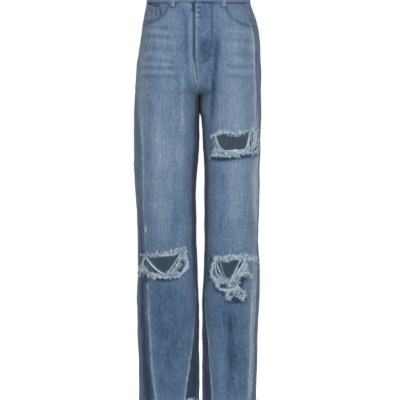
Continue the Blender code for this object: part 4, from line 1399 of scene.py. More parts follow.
def tubes(lines, radii):
    # lines: threads by points by 3. Three-sided threads, closed at both ends
    count, steps = lines.shape[:2]
    tangent = unit(np.gradient(lines, axis=1))
    across = np.where(np.abs(tangent[..., 1:2]) > 0.8, [[[1.0, 0.0, 0.0]]], [[[0.0, 1.0, 0.0]]])
    first = unit(np.cross(tangent, across))
    second = np.cross(tangent, first)
    rings = []
    for k in range(3):
        turn = k * 2 * math.pi / 3
        rings.append(lines + radii[..., None] * (math.cos(turn) * first + math.sin(turn) * second))
    verts = np.stack(rings, axis=2).reshape(-1, 3)
    index = np.arange(count * steps * 3).reshape(count, steps, 3)
    after = np.roll(index, -1, axis=2)
    quads = np.stack([index[:, :-1], after[:, :-1], after[:, 1:], index[:, 1:]], axis=-1).reshape(-1, 4)
    ends = np.concatenate([index[:, 0, ::-1], index[:, -1]])
    return verts, quads, ends


def threadSet(lines, thick, blue=0.0, tone=(0.0, 1.0), taper=0.5, tuft=7):
    # threads next to each other in the set share most of their tone
    count, steps = lines.shape[:2]
    radii = draw.uniform(*thick, count)[:, None] * np.linspace(1.0, taper, steps)[None, :]
    shared = np.repeat(draw.uniform(0.0, 1.0, count // tuft + 1), tuft)[:count]
    tones = 0.65 * shared + 0.35 * draw.uniform(0.0, 1.0, count)
    return {
        "lines": lines,
        "radii": radii,
        "tones": tone[0] + (tone[1] - tone[0]) * tones,
        "material": (draw.uniform(0.0, 1.0, count) < blue).astype(int),
    }


def makeThreads(name, sets, materials):
    verts, faces, tones, used = [], [], [], []
    total = 0
    for one in sets:
        v, quads, ends = tubes(one["lines"], one["radii"])
        steps = one["lines"].shape[1]
        verts.append(v)
        faces += (quads + total).tolist() + (ends + total).tolist()
        tones.append(np.repeat(one["tones"], steps * 3))
        used += [np.repeat(one["material"], (steps - 1) * 3), np.tile(one["material"], 2)]
        total += len(v)
    thing = newObject(name, np.concatenate(verts), faces, materials)
    setValue(thing.data, "tone", np.concatenate(tones))
    thing.data.polygons.foreach_set("material_index", np.concatenate(used).astype(np.int32))
    thing.data.shade_smooth()
    return thing


def alongLine(line, share):
    # a smooth line through given points, at shares of its length
    pts = np.array(line, dtype=float)
    lengths = np.hypot(*np.diff(pts, axis=0).T)
    knots = np.concatenate([[0.0], np.cumsum(lengths)]) / lengths.sum()
    if len(pts) == 2:
        return np.interp(share, knots, pts[:, 0]), np.interp(share, knots, pts[:, 1])
    return curve({"z": knots, "v": pts[:, 0]}, "v", share), curve({"z": knots, "v": pts[:, 1]}, "v", share)


def lineLength(line):
    return np.hypot(*np.diff(np.array(line, dtype=float), axis=0).T).sum()


def bundle(half, line, width, lift, threads, whole=0.45):
    # threads that run together along a line, fanned out to its width, some of them for part of the way
    start = np.where(draw.uniform(0, 1, threads) < whole, 0.0, draw.uniform(0.0, 0.5, threads))
    end = np.where(draw.uniform(0, 1, threads) < whole, 1.0, draw.uniform(0.55, 1.0, threads))
    t = start[:, None] + (end - start)[:, None] * np.linspace(0.0, 1.0, 13)[None, :]
    x, z = alongLine(line, t)
    aheadX, aheadZ = alongLine(line, np.clip(t + 0.02, 0, 1))
    behindX, behindZ = alongLine(line, np.clip(t - 0.02, 0, 1))
    runX, runZ = aheadX - behindX, aheadZ - behindZ
    size = np.maximum(np.hypot(runX, runZ), 1e-6)
    wave = 0.3 * np.sin(t * draw.uniform(4, 11, (threads, 1)) + draw.uniform(0, 6.3, (threads, 1)))
    offset = (draw.uniform(-1, 1, (threads, 1)) + wave) * np.interp(t, [0, 0.5, 1], width)
    height = np.interp(t, [0, 0.5, 1], lift) * draw.uniform(0.6, 1.3, (threads, 1)) + 0.4
    return placeOn(half, front, x - runZ / size * offset, z + runX / size * offset, height)


def strewn(half, x, z, reach, direction, lift):
    # threads from points seen from the front, carried over the cloth by their own lengths
    x, z = x[:, None], z[:, None]
    angle = angleOn(half, front, x, z)
    turn = angle + sideOf[half] * arcStep(half, angle, z, 1.0) * reach * np.cos(direction)
    return clothPoint(half, turn, z + reach * np.sin(direction), lift)


def fringe(half, line, threads, reach, lean, spread, lift, spacing):
    # threads rooted along a line, lying over the cloth away from it in tufts
    count = max(int(lineLength(line) / spacing), 1)
    centre = (np.arange(count) + draw.uniform(0.1, 0.9, count)) / count
    grow = draw.uniform(0.3, 1.3, count)
    swing = draw.normal(0.0, spread, count)
    curl = draw.normal(0.0, 0.6, count)
    pick = np.sort(draw.integers(0, count, threads))
    at = np.clip(centre[pick] + draw.normal(0.0, 0.3, threads) / count, 0.0, 1.0)
    rootX, rootZ = alongLine(line, at)
    lengths = draw.uniform(*reach, threads) * grow[pick]
    leaning = np.interp(at, np.linspace(0, 1, len(lean)), lean)
    direction = np.radians(leaning + swing[pick] + draw.normal(0.0, 9.0, threads))[:, None]
    t = np.linspace(0.0, 1.0, 6)[None, :]
    bend = (curl[pick][:, None] + draw.normal(0.0, 0.25, (threads, 1))) * t ** 1.4
    reached = lengths[:, None] * t
    rise = draw.uniform(*lift, (threads, 1)) * np.sin(t * 2.0) + 0.4
    return strewn(half, rootX, rootZ, reached, direction + bend, rise)


def tangle(half, polygon, threads, reach, lean, spread, lift):
    # short threads strewn over an area in tufts
    pts = np.array(polygon, dtype=float)
    low, high = pts.min(axis=0), pts.max(axis=0)
    tufts = threads // 7 + 1
    found = np.zeros((0, 2))
    while len(found) < tufts:
        tries = draw.uniform(low, high, (tufts, 2))
        found = np.concatenate([found, tries[insidePolygon(polygon, tries[:, 0], tries[:, 1])]])
    middle = np.repeat(found[:tufts], 7, axis=0)[:threads] + draw.normal(0.0, 1.0, (threads, 2))
    lengths = draw.uniform(*reach, (threads, 1))
    shared = np.repeat(draw.normal(0.0, spread, tufts), 7)[:threads, None]
    direction = np.radians(lean + shared + draw.normal(0.0, 16.0, (threads, 1)))
    t = np.linspace(-0.5, 0.5, 6)[None, :]
    bend = draw.normal(0.0, 1.0, (threads, 1)) * t ** 2 * 3.0
    rise = draw.uniform(*lift, (threads, 1)) * (1.0 - 2.2 * t * t) + 0.3
    return strewn(half, middle[:, 0], middle[:, 1], lengths * t, direction + bend, rise)


# The frayed cloth round each rip. bundles: line, width and lift at start, middle and end, threads.
# fringes: line, threads, reach, lean in degrees along the line, spread, lift, tuft spacing.
# tangles: outline, threads, reach, lean, spread, lift. clear: places where the cloth or the hole shows.
frays = {
    "thigh": {
        "bundles": [
            ([(41, -386), (45, -401), (53, -417), (66, -426)], (1.2, 2.2, 2.6), (0.6, 1.5, 2.0), 30),
            ([(49, -412), (62, -426.5), (90, -426.5), (117, -422), (124, -408)], (1.0, 2.4, 1.6),
             (1, 2.2, 1.4), 40),
            ([(56, -422), (80, -432), (108, -430), (132, -420)], (2.0, 4.0, 4.0), (1.6, 3.2, 2.0), 36),
            ([(131, -376), (127, -396), (121, -418)], (1.2, 1.6, 2.0), (0.8, 1.4, 1.8), 22),
            ([(143, -370), (142, -394), (138, -424)], (3.4, 4.5, 4.5), (0.8, 1.6, 2.0), 34),
        ],
        "fringes": [
            ([(38, -386), (64, -379), (93, -383), (122, -377)], 330, (6, 13), (96, 92, 88, 84),
             16, (0.5, 2.4), 4.6),
            ([(120, -376), (134, -370), (150, -376)], 110, (5, 11), (95, 80, 30), 22, (0.5, 2.6), 5.0),
            ([(70, -383), (92, -386), (120, -380)], 60, (2, 5), (-90, -88, -90), 20, (0.2, 1.2), 5.0),
            ([(44, -384), (36, -386), (32, -392)], 60, (4, 10), (150, 180, 200), 24, (0.4, 2.0), 4.0),
            ([(40, -394), (40, -404), (42, -414)], 50, (1, 4), (180, 186, 200), 30, (0.4, 1.6), 5.0),
            ([(42, -424), (34, -430), (30, -437)], 70, (4, 11), (170, 200, 230), 26, (0.4, 2.4), 4.0),
            ([(34, -434), (50, -434), (76, -437), (104, -431), (130, -428), (150, -424)], 420, (5, 13),
             (-104, -96, -90, -88, -84, -70), 18, (1.0, 4.6), 5.6),
            ([(150, -380), (153, -404), (152, -424)], 80, (2, 7), (0, -10, -40), 30, (0.4, 2.2), 5.0),
        ],
        "tangles": [
            ([(34, -424), (44, -416), (60, -426), (118, -423), (150, -420), (150, -431), (128, -432),
             (104, -435), (76, -440), (44, -439), (30, -440)], 330, (4, 10), -70, 46, (0.4, 3.0)),
            ([(124, -374), (134, -366), (150, -372), (153, -400), (151, -428), (124, -422), (131, -392)],
             360, (4, 10), -80, 50, (0.3, 2.4)),
            ([(36, -386), (64, -380), (93, -384), (126, -377), (126, -371), (92, -376), (62, -374),
             (40, -378)], 150, (3, 7), 88, 26, (0.2, 1.6)),
        ],
        "clear": [
            [(129, -396), (134, -396), (136, -410), (131, -411)],
            [(142, -417), (147, -416), (147, -421), (142, -422)],
            [(60, -430), (65, -431), (64, -434), (59, -433)],
            [(137, -380), (142, -381), (141, -385), (136, -384)],
        ],
    },
    "kneeRight": {
        "bundles": [
            ([(-136, -704), (-127, -715), (-113, -729), (-101, -738), (-90, -744)], (0.8, 1.5, 2.2),
             (0.8, 3.0, 1.8), 30),
            ([(-142, -700), (-145, -716), (-137, -733), (-123, -744), (-106, -748)], (1.2, 2.4, 2.6),
             (0.8, 2.2, 1.8), 26),
            ([(-50, -690), (-61, -709), (-74, -728), (-86, -743)], (0.7, 1.0, 1.8), (0.6, 2.2, 1.6), 22),
            ([(-45, -690), (-52, -709), (-66, -733), (-80, -747)], (1.0, 2.2, 3.0), (0.6, 2.4, 1.8), 24),
            ([(-36, -690), (-33, -712), (-44, -738), (-66, -751)], (1.6, 3.0, 3.4), (0.6, 2.0, 1.8), 26),
            ([(-110, -747), (-92, -750), (-74, -749)], (2.0, 3.2, 2.8), (1.6, 3.0, 1.8), 26),
        ],
        "fringes": [
            ([(-150, -697), (-118, -695), (-104, -691), (-82, -689), (-60, -683), (-40, -677)],
             330, (4, 10), (100, 94, 90, 88, 80, 70), 20, (0.4, 2.4), 4.6),
            ([(-48, -682), (-38, -676), (-34, -688)], 50, (3, 7), (70, 40, 10), 24, (0.4, 2.0), 4.0),
            ([(-128, -700), (-100, -696), (-78, -696), (-58, -691)], 80, (2, 5), (-90, -90, -90, -88),
             20, (0.2, 1.4), 5.5),
            ([(-108, -748), (-94, -750), (-76, -749), (-62, -749), (-46, -741), (-34, -727), (-31, -707)],
             300, (4, 9), (-96, -92, -88, -84, -60, -35, -10), 20, (0.8, 4.0), 5.2),
            ([(-136, -741), (-131, -744), (-122, -745)], 60, (6, 14), (-104, -98, -90), 12, (0.8, 3.6),
             3.5),
            ([(-143, -700), (-148, -712), (-150, -722)], 50, (2, 6), (180, 190, 200), 26, (0.4, 2.0),
             5.0),
            ([(-143, -724), (-150, -732), (-154, -744)], 120, (4, 12), (190, 214, 240), 26, (0.5, 2.6),
             5.0),
        ],
        "tangles": [
            ([(-152, -702), (-152, -694), (-118, -692), (-110, -688), (-83, -686), (-62, -680),
             (-47, -677), (-35, -673), (-34, -682), (-50, -690), (-77, -697), (-121, -698), (-134, -704)],
             230, (3, 8), 84, 32, (0.3, 2.0)),
            ([(-48, -689), (-36, -685), (-31, -700), (-31, -721), (-38, -736), (-60, -750), (-82, -752),
             (-90, -747), (-72, -735), (-56, -709)], 250, (4, 11), -62, 36, (0.3, 2.4)),
            ([(-161, -730), (-147, -724), (-140, -738), (-143, -750), (-152, -752), (-161, -744)],
             170, (4, 9), -115, 40, (0.4, 2.6)),
            ([(-134, -740), (-107, -743), (-107, -753), (-122, -756), (-133, -753)], 150, (4, 9),
             -96, 26, (0.6, 3.2)),
            ([(-160, -731), (-148, -716), (-139, -733), (-112, -746), (-92, -746), (-60, -751),
             (-64, -756), (-84, -756), (-94, -756), (-104, -755), (-114, -749), (-128, -744),
             (-140, -744), (-152, -752)], 260, (4, 9), -70, 40, (0.4, 2.8)),
        ],
        "clear": [
            [(-138, -708), (-134, -712), (-120, -730), (-112, -742), (-119, -742), (-132, -728),
             (-139, -717)],
            [(-62, -709), (-57, -710), (-71, -736), (-76, -732)],
            [(-42, -717), (-36, -720), (-50, -737), (-57, -735)],
            [(-49, -709), (-40, -710), (-41, -714), (-49, -713)],
        ],
    },
    "kneeLeft": {
        "bundles": [
            ([(49, -700), (47, -713), (52, -732), (61, -748), (74, -758)], (1.0, 2.4, 2.4),
             (0.6, 2.6, 1.6), 14),
            ([(51, -706), (57, -722), (62, -741), (71, -755)], (0.8, 1.4, 1.6), (0.4, 1.8, 1.4), 7),
            ([(46, -699), (41, -716), (44, -737), (55, -753), (72, -763)], (1.0, 2.6, 3.0),
             (0.6, 2.8, 1.8), 18),
            ([(44, -700), (37, -722), (34, -742), (45, -759), (62, -769)], (1.0, 2.2, 3.0),
             (0.6, 2.4, 2.0), 26),
            ([(107, -706), (98, -723), (88, -745), (80, -758)], (0.6, 1.2, 1.8), (0.6, 2.4, 1.6), 20),
            ([(119, -708), (107, -726), (96, -744), (84, -760)], (1.0, 2.2, 3.0), (0.6, 2.6, 1.8), 34),
            ([(44, -758), (46, -768), (51, -779), (62, -785), (76, -787), (90, -783), (98, -770)],
             (1.4, 2.6, 2.8), (1, 2.6, 1.6), 20),
            ([(70, -796), (82, -788), (96, -782), (109, -788), (116, -799)], (2.2, 4.6, 3.0),
             (1.0, 2.4, 1.6), 20),
            ([(98, -747), (112, -741), (124, -742), (136, -747)], (1.8, 2.6, 2.0), (1.0, 2.0, 1.2), 26),
        ],
        "fringes": [
            ([(44, -700), (60, -699), (76, -699), (93, -699), (110, -696), (132, -697)], 300, (4, 11),
             (110, 96, 90, 90, 86, 80), 20, (0.4, 2.4), 4.8),
            ([(130, -695), (142, -701), (148, -711)], 90, (4, 10), (70, 30, -20), 24, (0.4, 2.2), 4.5),
            ([(60, -709), (74, -711), (90, -705), (104, -705)], 60, (2, 5), (-90, -90, -90, -90),
             20, (0.2, 1.4), 5.0),
            ([(43, -702), (36, -722), (32, -738), (32, -750), (40, -762), (48, -772)], 230, (3, 10),
             (165, 185, 195, 215, 235, 250), 24, (0.5, 2.8), 5.0),
            ([(72, -801), (84, -802), (100, -803), (116, -804)], 180, (5, 12), (-100, -92, -88, -76),
             20, (0.8, 3.6), 5.5),
            ([(100, -749), (112, -745), (124, -745), (136, -749)], 150, (4, 11), (-110, -96, -84, -60),
             20, (0.8, 3.6), 5.0),
            ([(46, -772), (52, -781), (62, -786), (74, -789)], 90, (2, 6), (-170, -140, -110, -90),
             30, (0.6, 2.8), 4.5),
            ([(98, -757), (100, -767), (96, -779)], 80, (3, 9), (-20, -30, -50), 24, (0.6, 2.6), 4.5),
            ([(104, -784), (112, -791), (117, -801)], 70, (3, 8), (50, 20, -10), 24, (0.4, 2.2), 4.5),
        ],
        "tangles": [
            ([(43, -704), (47, -695), (76, -696), (93, -696), (110, -692), (136, -694), (146, -709),
             (138, -714), (106, -706), (88, -705), (70, -711), (57, -708)], 220, (3, 8),
             86, 32, (0.3, 2.2)),
            ([(106, -709), (121, -708), (125, -727), (130, -742), (120, -742), (106, -748), (97, -746),
             (110, -724)], 130, (4, 10), -118, 36, (0.3, 2.2)),
            ([(31, -749), (38, -746), (49, -755), (66, -760), (84, -757), (98, -748), (100, -763),
             (96, -778), (84, -786), (72, -788), (69, -771), (52, -770), (40, -763)], 260, (4, 10),
             -80, 48, (0.4, 2.8)),
            ([(68, -798), (80, -788), (96, -780), (107, -785), (116, -799), (114, -810), (98, -805),
             (86, -804), (74, -810)], 300, (3, 8), -78, 60, (1.0, 4.2)),
            ([(44, -762), (52, -764), (53, -781), (70, -782), (74, -790), (58, -787), (47, -776)],
             130, (3, 7), -80, 60, (0.4, 2.4)),
        ],
        "clear": [
            [(54, -769), (66, -769), (66, -779), (55, -780)],
            [(48, -719), (52, -719), (55, -740), (51, -738)],
            [(40, -733), (44, -733), (51, -748), (47, -750)],
            [(107, -711), (112, -713), (105, -727), (101, -725)],
            [(84, -802), (99, -803), (98, -811), (86, -811)],
            [(86, -768), (91, -766), (92, -771), (87, -773)],
            [(94, -789), (99, -788), (100, -793), (95, -794)],
            [(80, -795), (84, -794), (84, -798), (80, -799)],
            [(106, -793), (110, -794), (109, -798), (105, -797)],
        ],
    },
}


def withoutCleared(lines, polygons):
    middle = lines[:, lines.shape[1] // 2]
    keep = np.ones(len(lines), dtype=bool)
    for polygon in polygons:
        keep &= ~insidePolygon(polygon, middle[:, 0], middle[:, 2])
    return lines[keep]


# How each kind of thread is made: radii, share that is blue, tones, taper, threads that share a tone
yarns = {
    "bundles": ((0.26, 0.42), 0.10, (-0.05, 1.3), 0.9, 2),
    "fringes": ((0.34, 0.54), 0.14, (-0.1, 1.4), 0.45, 7),
    "tangles": ((0.32, 0.52), 0.20, (-0.15, 1.4), 0.7, 7),
}


def makeFrays(name, key):
    half, spec = rips[key]["half"], frays[key]
    sets = []
    for kind, lay in (("bundles", bundle), ("fringes", fringe), ("tangles", tangle)):
        for row in spec[kind]:
            lines = lay(half, *row)
            if kind != "bundles":
                lines = withoutCleared(lines, spec["clear"])
            sets.append(threadSet(lines, *yarns[kind]))
    return makeThreads(name, sets, [whiteYarn, blueYarn])


hemFray = {
    "ends": 900,
    "longest": 10.5,
    "inTheCloth": 2.5,
    "blueInFront": 0.93,
    "blueElsewhere": 0.3,
    "palePlace": (-33.0, -2.0),
    "blueInPalePlace": 0.1,
    "loose": 90,
}


def makeHemFringe(half):
    # warp ends that hang from the raw hem, with a few weft threads worked loose along it
    count, sunk = hemFray["ends"], hemFray["inTheCloth"]
    angle = np.sort(draw.uniform(0.0, 2 * math.pi, count))
    beat = 0.5 + 0.5 * np.sin(angle * 19.0 + 2.0 * np.sin(angle * 7.0))
    reach = draw.uniform(2.0, 9.0, count) * (0.5 + beat)
    t = np.linspace(0.0, 1.0, 6)[None, :]
    root = np.full(count, body["hem"] + sunk)
    flare = draw.uniform(-0.4, 2.4, (count, 1)) * t ** 1.4 - draw.uniform(0.2, 1.3, (count, 1))
    bend = draw.normal(0.0, 2.4, (count, 1)) * t ** 2 + draw.normal(0.0, 0.8, (count, 1)) * t
    turn = angle[:, None] + arcStep(half, angle, root, 1.0)[:, None] * bend
    lines = clothPoint(half, turn, root[:, None] + 0.0 * turn, flare)
    lines[..., 2] -= np.minimum((reach[:, None] + sunk) * t, hemFray["longest"])
    ends = threadSet(lines, (0.26, 0.44), 0.0, (0.1, 1.0), 0.5)
    blue = np.where(np.abs(angle - 1.6) < 1.1, hemFray["blueInFront"], hemFray["blueElsewhere"])
    across = plainPoint(half, angle, root)[:, 0]
    low, high = hemFray["palePlace"]
    blue = np.where((across > low) & (across < high) & (angle < math.pi), hemFray["blueInPalePlace"], blue)
    ends["material"] = (draw.uniform(0.0, 1.0, count) < blue).astype(int)
    loose = hemFray["loose"]
    start = draw.uniform(0.0, 2 * math.pi, (loose, 1))
    run = draw.uniform(0.12, 0.5, (loose, 1)) * np.linspace(0.0, 1.0, 13)[None, :]
    z = body["hem"] + draw.uniform(-3.2, 0.8, (loose, 1)) + draw.normal(0.0, 0.35, (loose, 13))
    rise = draw.uniform(-0.8, 1.0, (loose, 1)) + draw.normal(0.0, 0.15, (loose, 13))
    lines = clothPoint(half, start + run, np.maximum(z, body["hem"]) + 0.0 * run, rise)
    lines[..., 2] = z
    wefts = threadSet(lines, (0.22, 0.36), 0.0, (0.5, 1.0), 0.9)
    return makeThreads("hemFray" + half.title(), [ends, wefts], [whiteYarn, blueYarn])


# Sewing
def modelStitch():
    # one stitch: a short rounded length of thread
    deselectAll()
    bpy.ops.mesh.primitive_uv_sphere_add(segments=6, ring_count=4, radius=0.5)
    thing = bpy.context.active_object
    startEditing(thing)
    bpy.ops.transform.resize(value=(1.0, 0.9, 0.7))
    endEditing()
    verts = np.array([v.co for v in thing.data.vertices])
    faces = [list(p.vertices) for p in thing.data.polygons]
    bpy.data.objects.remove(thing)
    return verts, faces


stitchVerts, stitchFaces = modelStitch()
sewing = {"length": 2.7, "pitch": 3.3, "thick": 0.85, "tilt": 0.06}


def stitchesAlong(points, outward, pitch=sewing["pitch"], length=sewing["length"], thick=sewing["thick"]):
    # copies of the stitch down a line of points
    steps = np.linalg.norm(np.diff(points, axis=0), axis=-1)
    before = np.concatenate([[0.0], np.cumsum(steps)])
    count = max(int(before[-1] / pitch), 1)
    at = (np.arange(count) + 0.5) * before[-1] / count
    pick = lambda values, where: np.stack([np.interp(where, before, values[:, k]) for k in range(3)], axis=-1)
    centre = pick(points, at)
    run = unit(pick(points, at + length / 2) - pick(points, at - length / 2))
    out = unit(pick(outward, at))
    across = unit(np.cross(out, run))
    run = unit(run + across * sewing["tilt"])
    size = draw.uniform(0.92, 1.08, (count, 1, 1))
    shape = stitchVerts[None, :, :] * np.array([length, thick, thick * 0.8]) * size
    axes = (run, across, out)
    return centre[:, None, :] + sum(shape[..., k:k + 1] * axes[k][:, None, :] for k in range(3))


def makeStitches(name, runs, material):
    verts = np.concatenate(runs)
    count, each = len(verts), len(stitchVerts)
    faces = [[v + k * each for v in face] for k in range(count) for face in stitchFaces]
    thing = newObject(name, verts.reshape(-1, 3), faces, [material])
    setValue(thing.data, "tone", np.repeat(draw.uniform(0.2, 0.9, count), each))
    thing.data.shade_smooth()
    return thing


def sewOn(half, face, line, lift=0.35, **sizes):
    # a row of stitches along a line of x and z on the cloth
    x, z = alongLine(line, np.linspace(0.0, 1.0, 160))
    angle = angleOn(half, face, x, z)
    over = lapLift(half, x, z) if face == front else 0.0
    return stitchesAlong(clothPoint(half, angle, z, lift + over), normalAt(half, angle, z), **sizes)


def besides(line, away):
    # the same line, moved sideways
    pts = np.array(line, dtype=float)
    run = np.gradient(pts, axis=0)
    run = run / np.linalg.norm(run, axis=1, keepdims=True)
    return list(zip(pts[:, 0] - run[:, 1] * away, pts[:, 1] + run[:, 0] * away))


def barTack(half, face, x, z, tall, wide, upright=True, lift=0.5):
    # a block of close stitches, which lie across it
    high, across = (tall, wide) if upright else (wide, tall)
    count = int(high / 0.62)
    rows = []
    for k in range(count):
        step = ((k + 0.5) / count - 0.5) * high
        if upright:
            line = [(x - wide / 2, z + step), (x + wide / 2, z + step + 0.4)]
        else:
            line = [(x + step, z - tall / 2), (x + step + 0.4, z + tall / 2)]
        rows.append(sewOn(half, face, line, lift, pitch=across, length=across * 1.05, thick=0.8))
    return np.concatenate(rows)


flyStitch = [  # the two rows of the fly's curved stitching, from the waist seam
    [(29.5, -42), (29, -100), (27.5, -140), (20, -153), (9, -161), (-3, -166)],
    [(34, -42), (34, -100), (33, -150), (29, -176), (21, -188), (9, -193), (-7, -196)],
]


def sewFront(half):
    mouth, side = mouths[half], sideOf[half]
    rows = [sewOn(half, front, mouthLine(half, beyond)[1:-1], 0.4) for beyond in (2.2, 7.4)]
    rows.append(barTack(half, front, mouth["corner"] - side * (mouth["wide"] + 5), -43.5, 6.0, 2.2))
    low = -body["bandHeight"] - mouth["deep"] - 5.0
    rows.append(barTack(half, front, mouth["corner"] - side * 4.0, low, 2.2, 7.0, upright=False))
    return rows


coinStitch = [
    [(-130, -45.5), (-109, -53)],
    [(-130, -50), (-111, -57)],
    [(-105.5, -50), (-101, -60), (-98.5, -70)],
    [(-110, -54), (-106, -62), (-104, -72)],
]


def sewCoinPocket():
    under = -body["denim"] + body["thinDenim"]
    return [sewOn("right", front, line, under + 0.35, thick=0.75) for line in coinStitch]


def sewFly():
    rows = [sewOn("left", front, line, 0.4) for line in flyStitch]
    edgeLine = [(curve(trunk, "fly", float(z)) + 2.4, z) for z in (-42.0, -90.0, -140.0, -190.0)]
    rows.append(sewOn("left", front, edgeLine, 0.35))
    below = [(-4, -200), (1, -220), (3, -240), (4, -262)]
    return rows + [sewOn("left", front, line, 0.4) for line in (below, besides(below, 5.0))]


def sewBack(half):
    side = sideOf[half]
    sew = lambda line, lift: sewOn(half, back, [(side * x, z) for x, z in line], lift)
    rows = []
    for above in (2.6, 8.0):
        line = [(x, float(yokeSeam(1.0 - x / 146.0)) + above) for x in (140, 110, 80, 50, 20, 5)]
        rows.append(sew(line, 0.45))
    for inset in (2.0, 7.4):
        z = np.linspace(-136, -250 + inset * 0.5, 7)
        near = list(zip(straight(backPocketRows, "near", z) + inset, z))
        far = list(zip(straight(backPocketRows, "far", z) - inset, z))
        rows.append(sew(near + [(75.0, -265.0 + inset * 1.2)] + far[::-1], onBack + 0.35))
    for z in (-137.0, -148.0):
        rows.append(sew([(29.0, z), (75.0, z - 0.5), (121.0, z)], onBack + 0.35))
    for x in (29.0, 120.5):
        rows.append(barTack(half, back, side * x, -138.5, 7.0, 2.4, lift=onBack + 0.6))
    return rows


def sewSeat():
    levels = (-44.0, -80.0, -120.0, -160.0, -200.0, -240.0)
    lines = [[(curve(trunk, "seat", float(z)) + away, z) for z in levels] for away in (3.0, 8.2)]
    return [sewOn("left", back, line, 0.45) for line in lines]


def sewAlongBand(share, z):
    points = bandPoint(share, z, np.full(share.shape, 0.3))
    return stitchesAlong(points, points - bandPoint(share, z, np.full(share.shape, -1.0)))


def sewBand():
    share = np.linspace(0.004, 0.996, 700)
    low = -body["bandHeight"]
    rows = [sewAlongBand(share, np.full(share.shape, z)) for z in (-2.6, low + 2.6)]
    z = np.linspace(-3.0, low + 3.0, 40)
    return rows + [sewAlongBand(np.full(z.shape, 0.0036), z)]


def sewLoop(half, face, x):
    rows = []
    z = np.linspace(-3.0, -51.0, 60)
    clear = straight(loopShape["profile"], "clear", z) + loopShape["wall"] + 0.3
    for away in (-3.6, 3.6):
        angle = angleOn(half, face, x + away + 0.0 * z, z)
        rows.append(stitchesAlong(clothPoint(half, angle, z, clear), normalAt(half, angle, z)))
    for level, lift in ((-3.0, 1.2), (-50.5, 0.95)):
        lift = lift + loopShape["wall"] + 0.45
        rows.append(barTack(half, face, x, level, 2.0, 9.0, upright=False, lift=lift))
    return rows


button = {
    "radius": 8.5,
    "x": 5.0,
    "z": -20.0,
    "profile": [(1.06, 0.5), (1.0, 1.3), (0.93, 0.75), (0.9, 0.05), (0.84, -0.45), (0.7, 0.1), (0.62, 0.45),
                (0.6, 0.35), (0.5, 0.05)],  # each step's growth and rise
}


def makeButton():
    # a turned tack button: a disc with a raised rim and a domed middle
    x, z = np.array(button["x"]), np.array(button["z"])
    seat = Vector(placePlain("left", x, z, band["proud"] + band["wall"] + 1.1))
    out = (seat - Vector(placePlain("left", x, z, 0.0))).normalized()
    up = out.cross(Vector((1, 0, 0))).normalized()
    across = up.cross(out)
    deselectAll()
    bpy.ops.mesh.primitive_circle_add(vertices=40, radius=button["radius"] * 0.94, fill_type="NGON")
    thing = bpy.context.active_object
    thing.name = "tackButton"
    startEditing(thing)
    for grow, rise in button["profile"]:
        bpy.ops.mesh.extrude_region_move(TRANSFORM_OT_translate={"value": (0, 0, rise)})
        bpy.ops.transform.resize(value=(grow, grow, 1.0))
    endEditing(turnOut=True)
    for vertex in thing.data.vertices:
        local = vertex.co.copy()
        vertex.co = (seat + across * local.x + up * local.y + out * local.z) * mm
    thing.data.materials.append(brass)
    thing.data.shade_smooth()
    return thing


def placePlain(half, x, z, lift):
    angle = angleOn(half, front, x, z)
    return (plainPoint(half, angle, z) + normalAt(half, angle, z) * lift).tolist()


# Making the pieces
def wear(piece, slot, *nodes):
    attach(piece, "root")
    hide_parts(*nodes)
    return piece


for half in sideOf:
    wear(makeFront(half), "denim", "front_" + half)
    backCloth = wear(makeBack(half), "denim", "back_" + half)
    hemThreads = wear(makeHemFringe(half), "thread", "hem_fringe_" + half)
    wear(makeYoke(half), "denim", "yoke_" + half)
    wear(makeFacing(half), "pocket_denim", "pocket_facing_" + half)
    wear(makeBackPocket(half), "denim", "back_pocket_" + half)
    print("leg done:", half)
wear(makeCoinPocket(), "denim", "coin_pocket")
wear(makeFlyPiece(), "pocket_denim", "fly_piece")
wear(makeWaistband(), "denim", "waistband")
for name, node, half, face, x in beltLoops:
    wear(makeBeltLoop(name, half, face, x), "denim", node)
wear(makeButton(), "button_metal", "button")
wear(makeFrays("thighFrays", "thigh"), "thread", "fray_thigh")
wear(makeFrays("kneeFraysRight", "kneeRight"), "thread", "fray_knee_right")
wear(makeFrays("kneeFraysLeft", "kneeLeft"), "thread", "fray_knee_left")
print("pieces done")

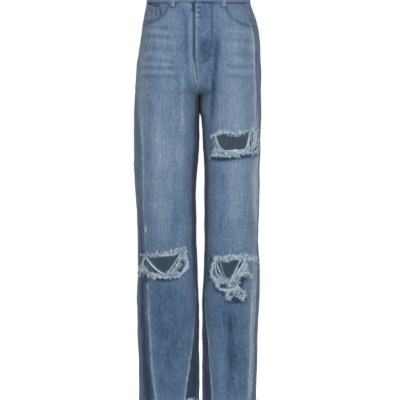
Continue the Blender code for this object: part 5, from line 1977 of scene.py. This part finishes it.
tanRows = sewFly() + sewCoinPocket() + sewFront("right") + sewFront("left")
greyRows = sewBack("right") + sewBack("left") + sewSeat() + sewBand()
for name, node, half, face, x in beltLoops:
    greyRows += sewLoop(half, face, x)
wear(makeStitches("frontStitching", tanRows, tanThread), "stitching")
wear(makeStitches("backStitching", greyRows, greyThread), "stitching")
print("sewing done")

# Studio
studio = {
    "distance": 14.0,
    "width": 1.040,
    "centreX": 0.0013,
    "centreZ": -0.552,
    "floor": -1.10,
    "onCloth": 0.24,
    "toCamera": 0.78,
}

bpy.ops.mesh.primitive_plane_add(size=14, location=(0, 0, studio["floor"]))
floor = bpy.context.active_object
floor.name = "studioFloor"
floor.data.materials.append(makeFloorFinish("paleFloor"))

cameraData = bpy.data.cameras.new("camera")
camera = bpy.data.objects.new("camera", cameraData)
bpy.context.scene.collection.objects.link(camera)
camera.location = (studio["centreX"], -studio["distance"], studio["centreZ"])
camera.rotation_euler = (math.pi / 2, 0, 0)
cameraData.sensor_width = 36.0
cameraData.lens = 36.0 * studio["distance"] / studio["width"]
bpy.context.scene.camera = camera


def softLight(name, place, aim, size, power):
    data = bpy.data.lights.new(name, "AREA")
    data.shape = "SQUARE"
    data.size = size
    data.energy = power
    light = bpy.data.objects.new(name, data)
    bpy.context.scene.collection.objects.link(light)
    light.location = place
    direction = Vector(aim) - Vector(place)
    light.rotation_euler = direction.to_track_quat("-Z", "Y").to_euler()


softLight("key", (-1.0, -3.4, 2.2), (0, 0, -0.5), 2.2, 92)
softLight("fill", (2.0, -3.2, 0.4), (0, 0, -0.5), 2.4, 50)
softLight("overhead", (0, -0.3, 3.2), (0, 0, 0), 2.6, 34)

# the backdrop is white to the camera, and lights the cloth more softly
world = bpy.data.worlds.new("world")
bpy.context.scene.world = world
world.use_nodes = True
background = world.node_tree.nodes["Background"]
background.inputs["Color"].default_value = (1, 1, 1, 1)
seen = newNode(world.node_tree, "ShaderNodeLightPath").outputs["Is Camera Ray"]
strength = calc(world.node_tree, "MULTIPLY_ADD", seen, studio["toCamera"], studio["onCloth"])
feed(world.node_tree, background.inputs["Strength"], strength)
bpy.context.scene.view_settings.view_transform = "Standard"
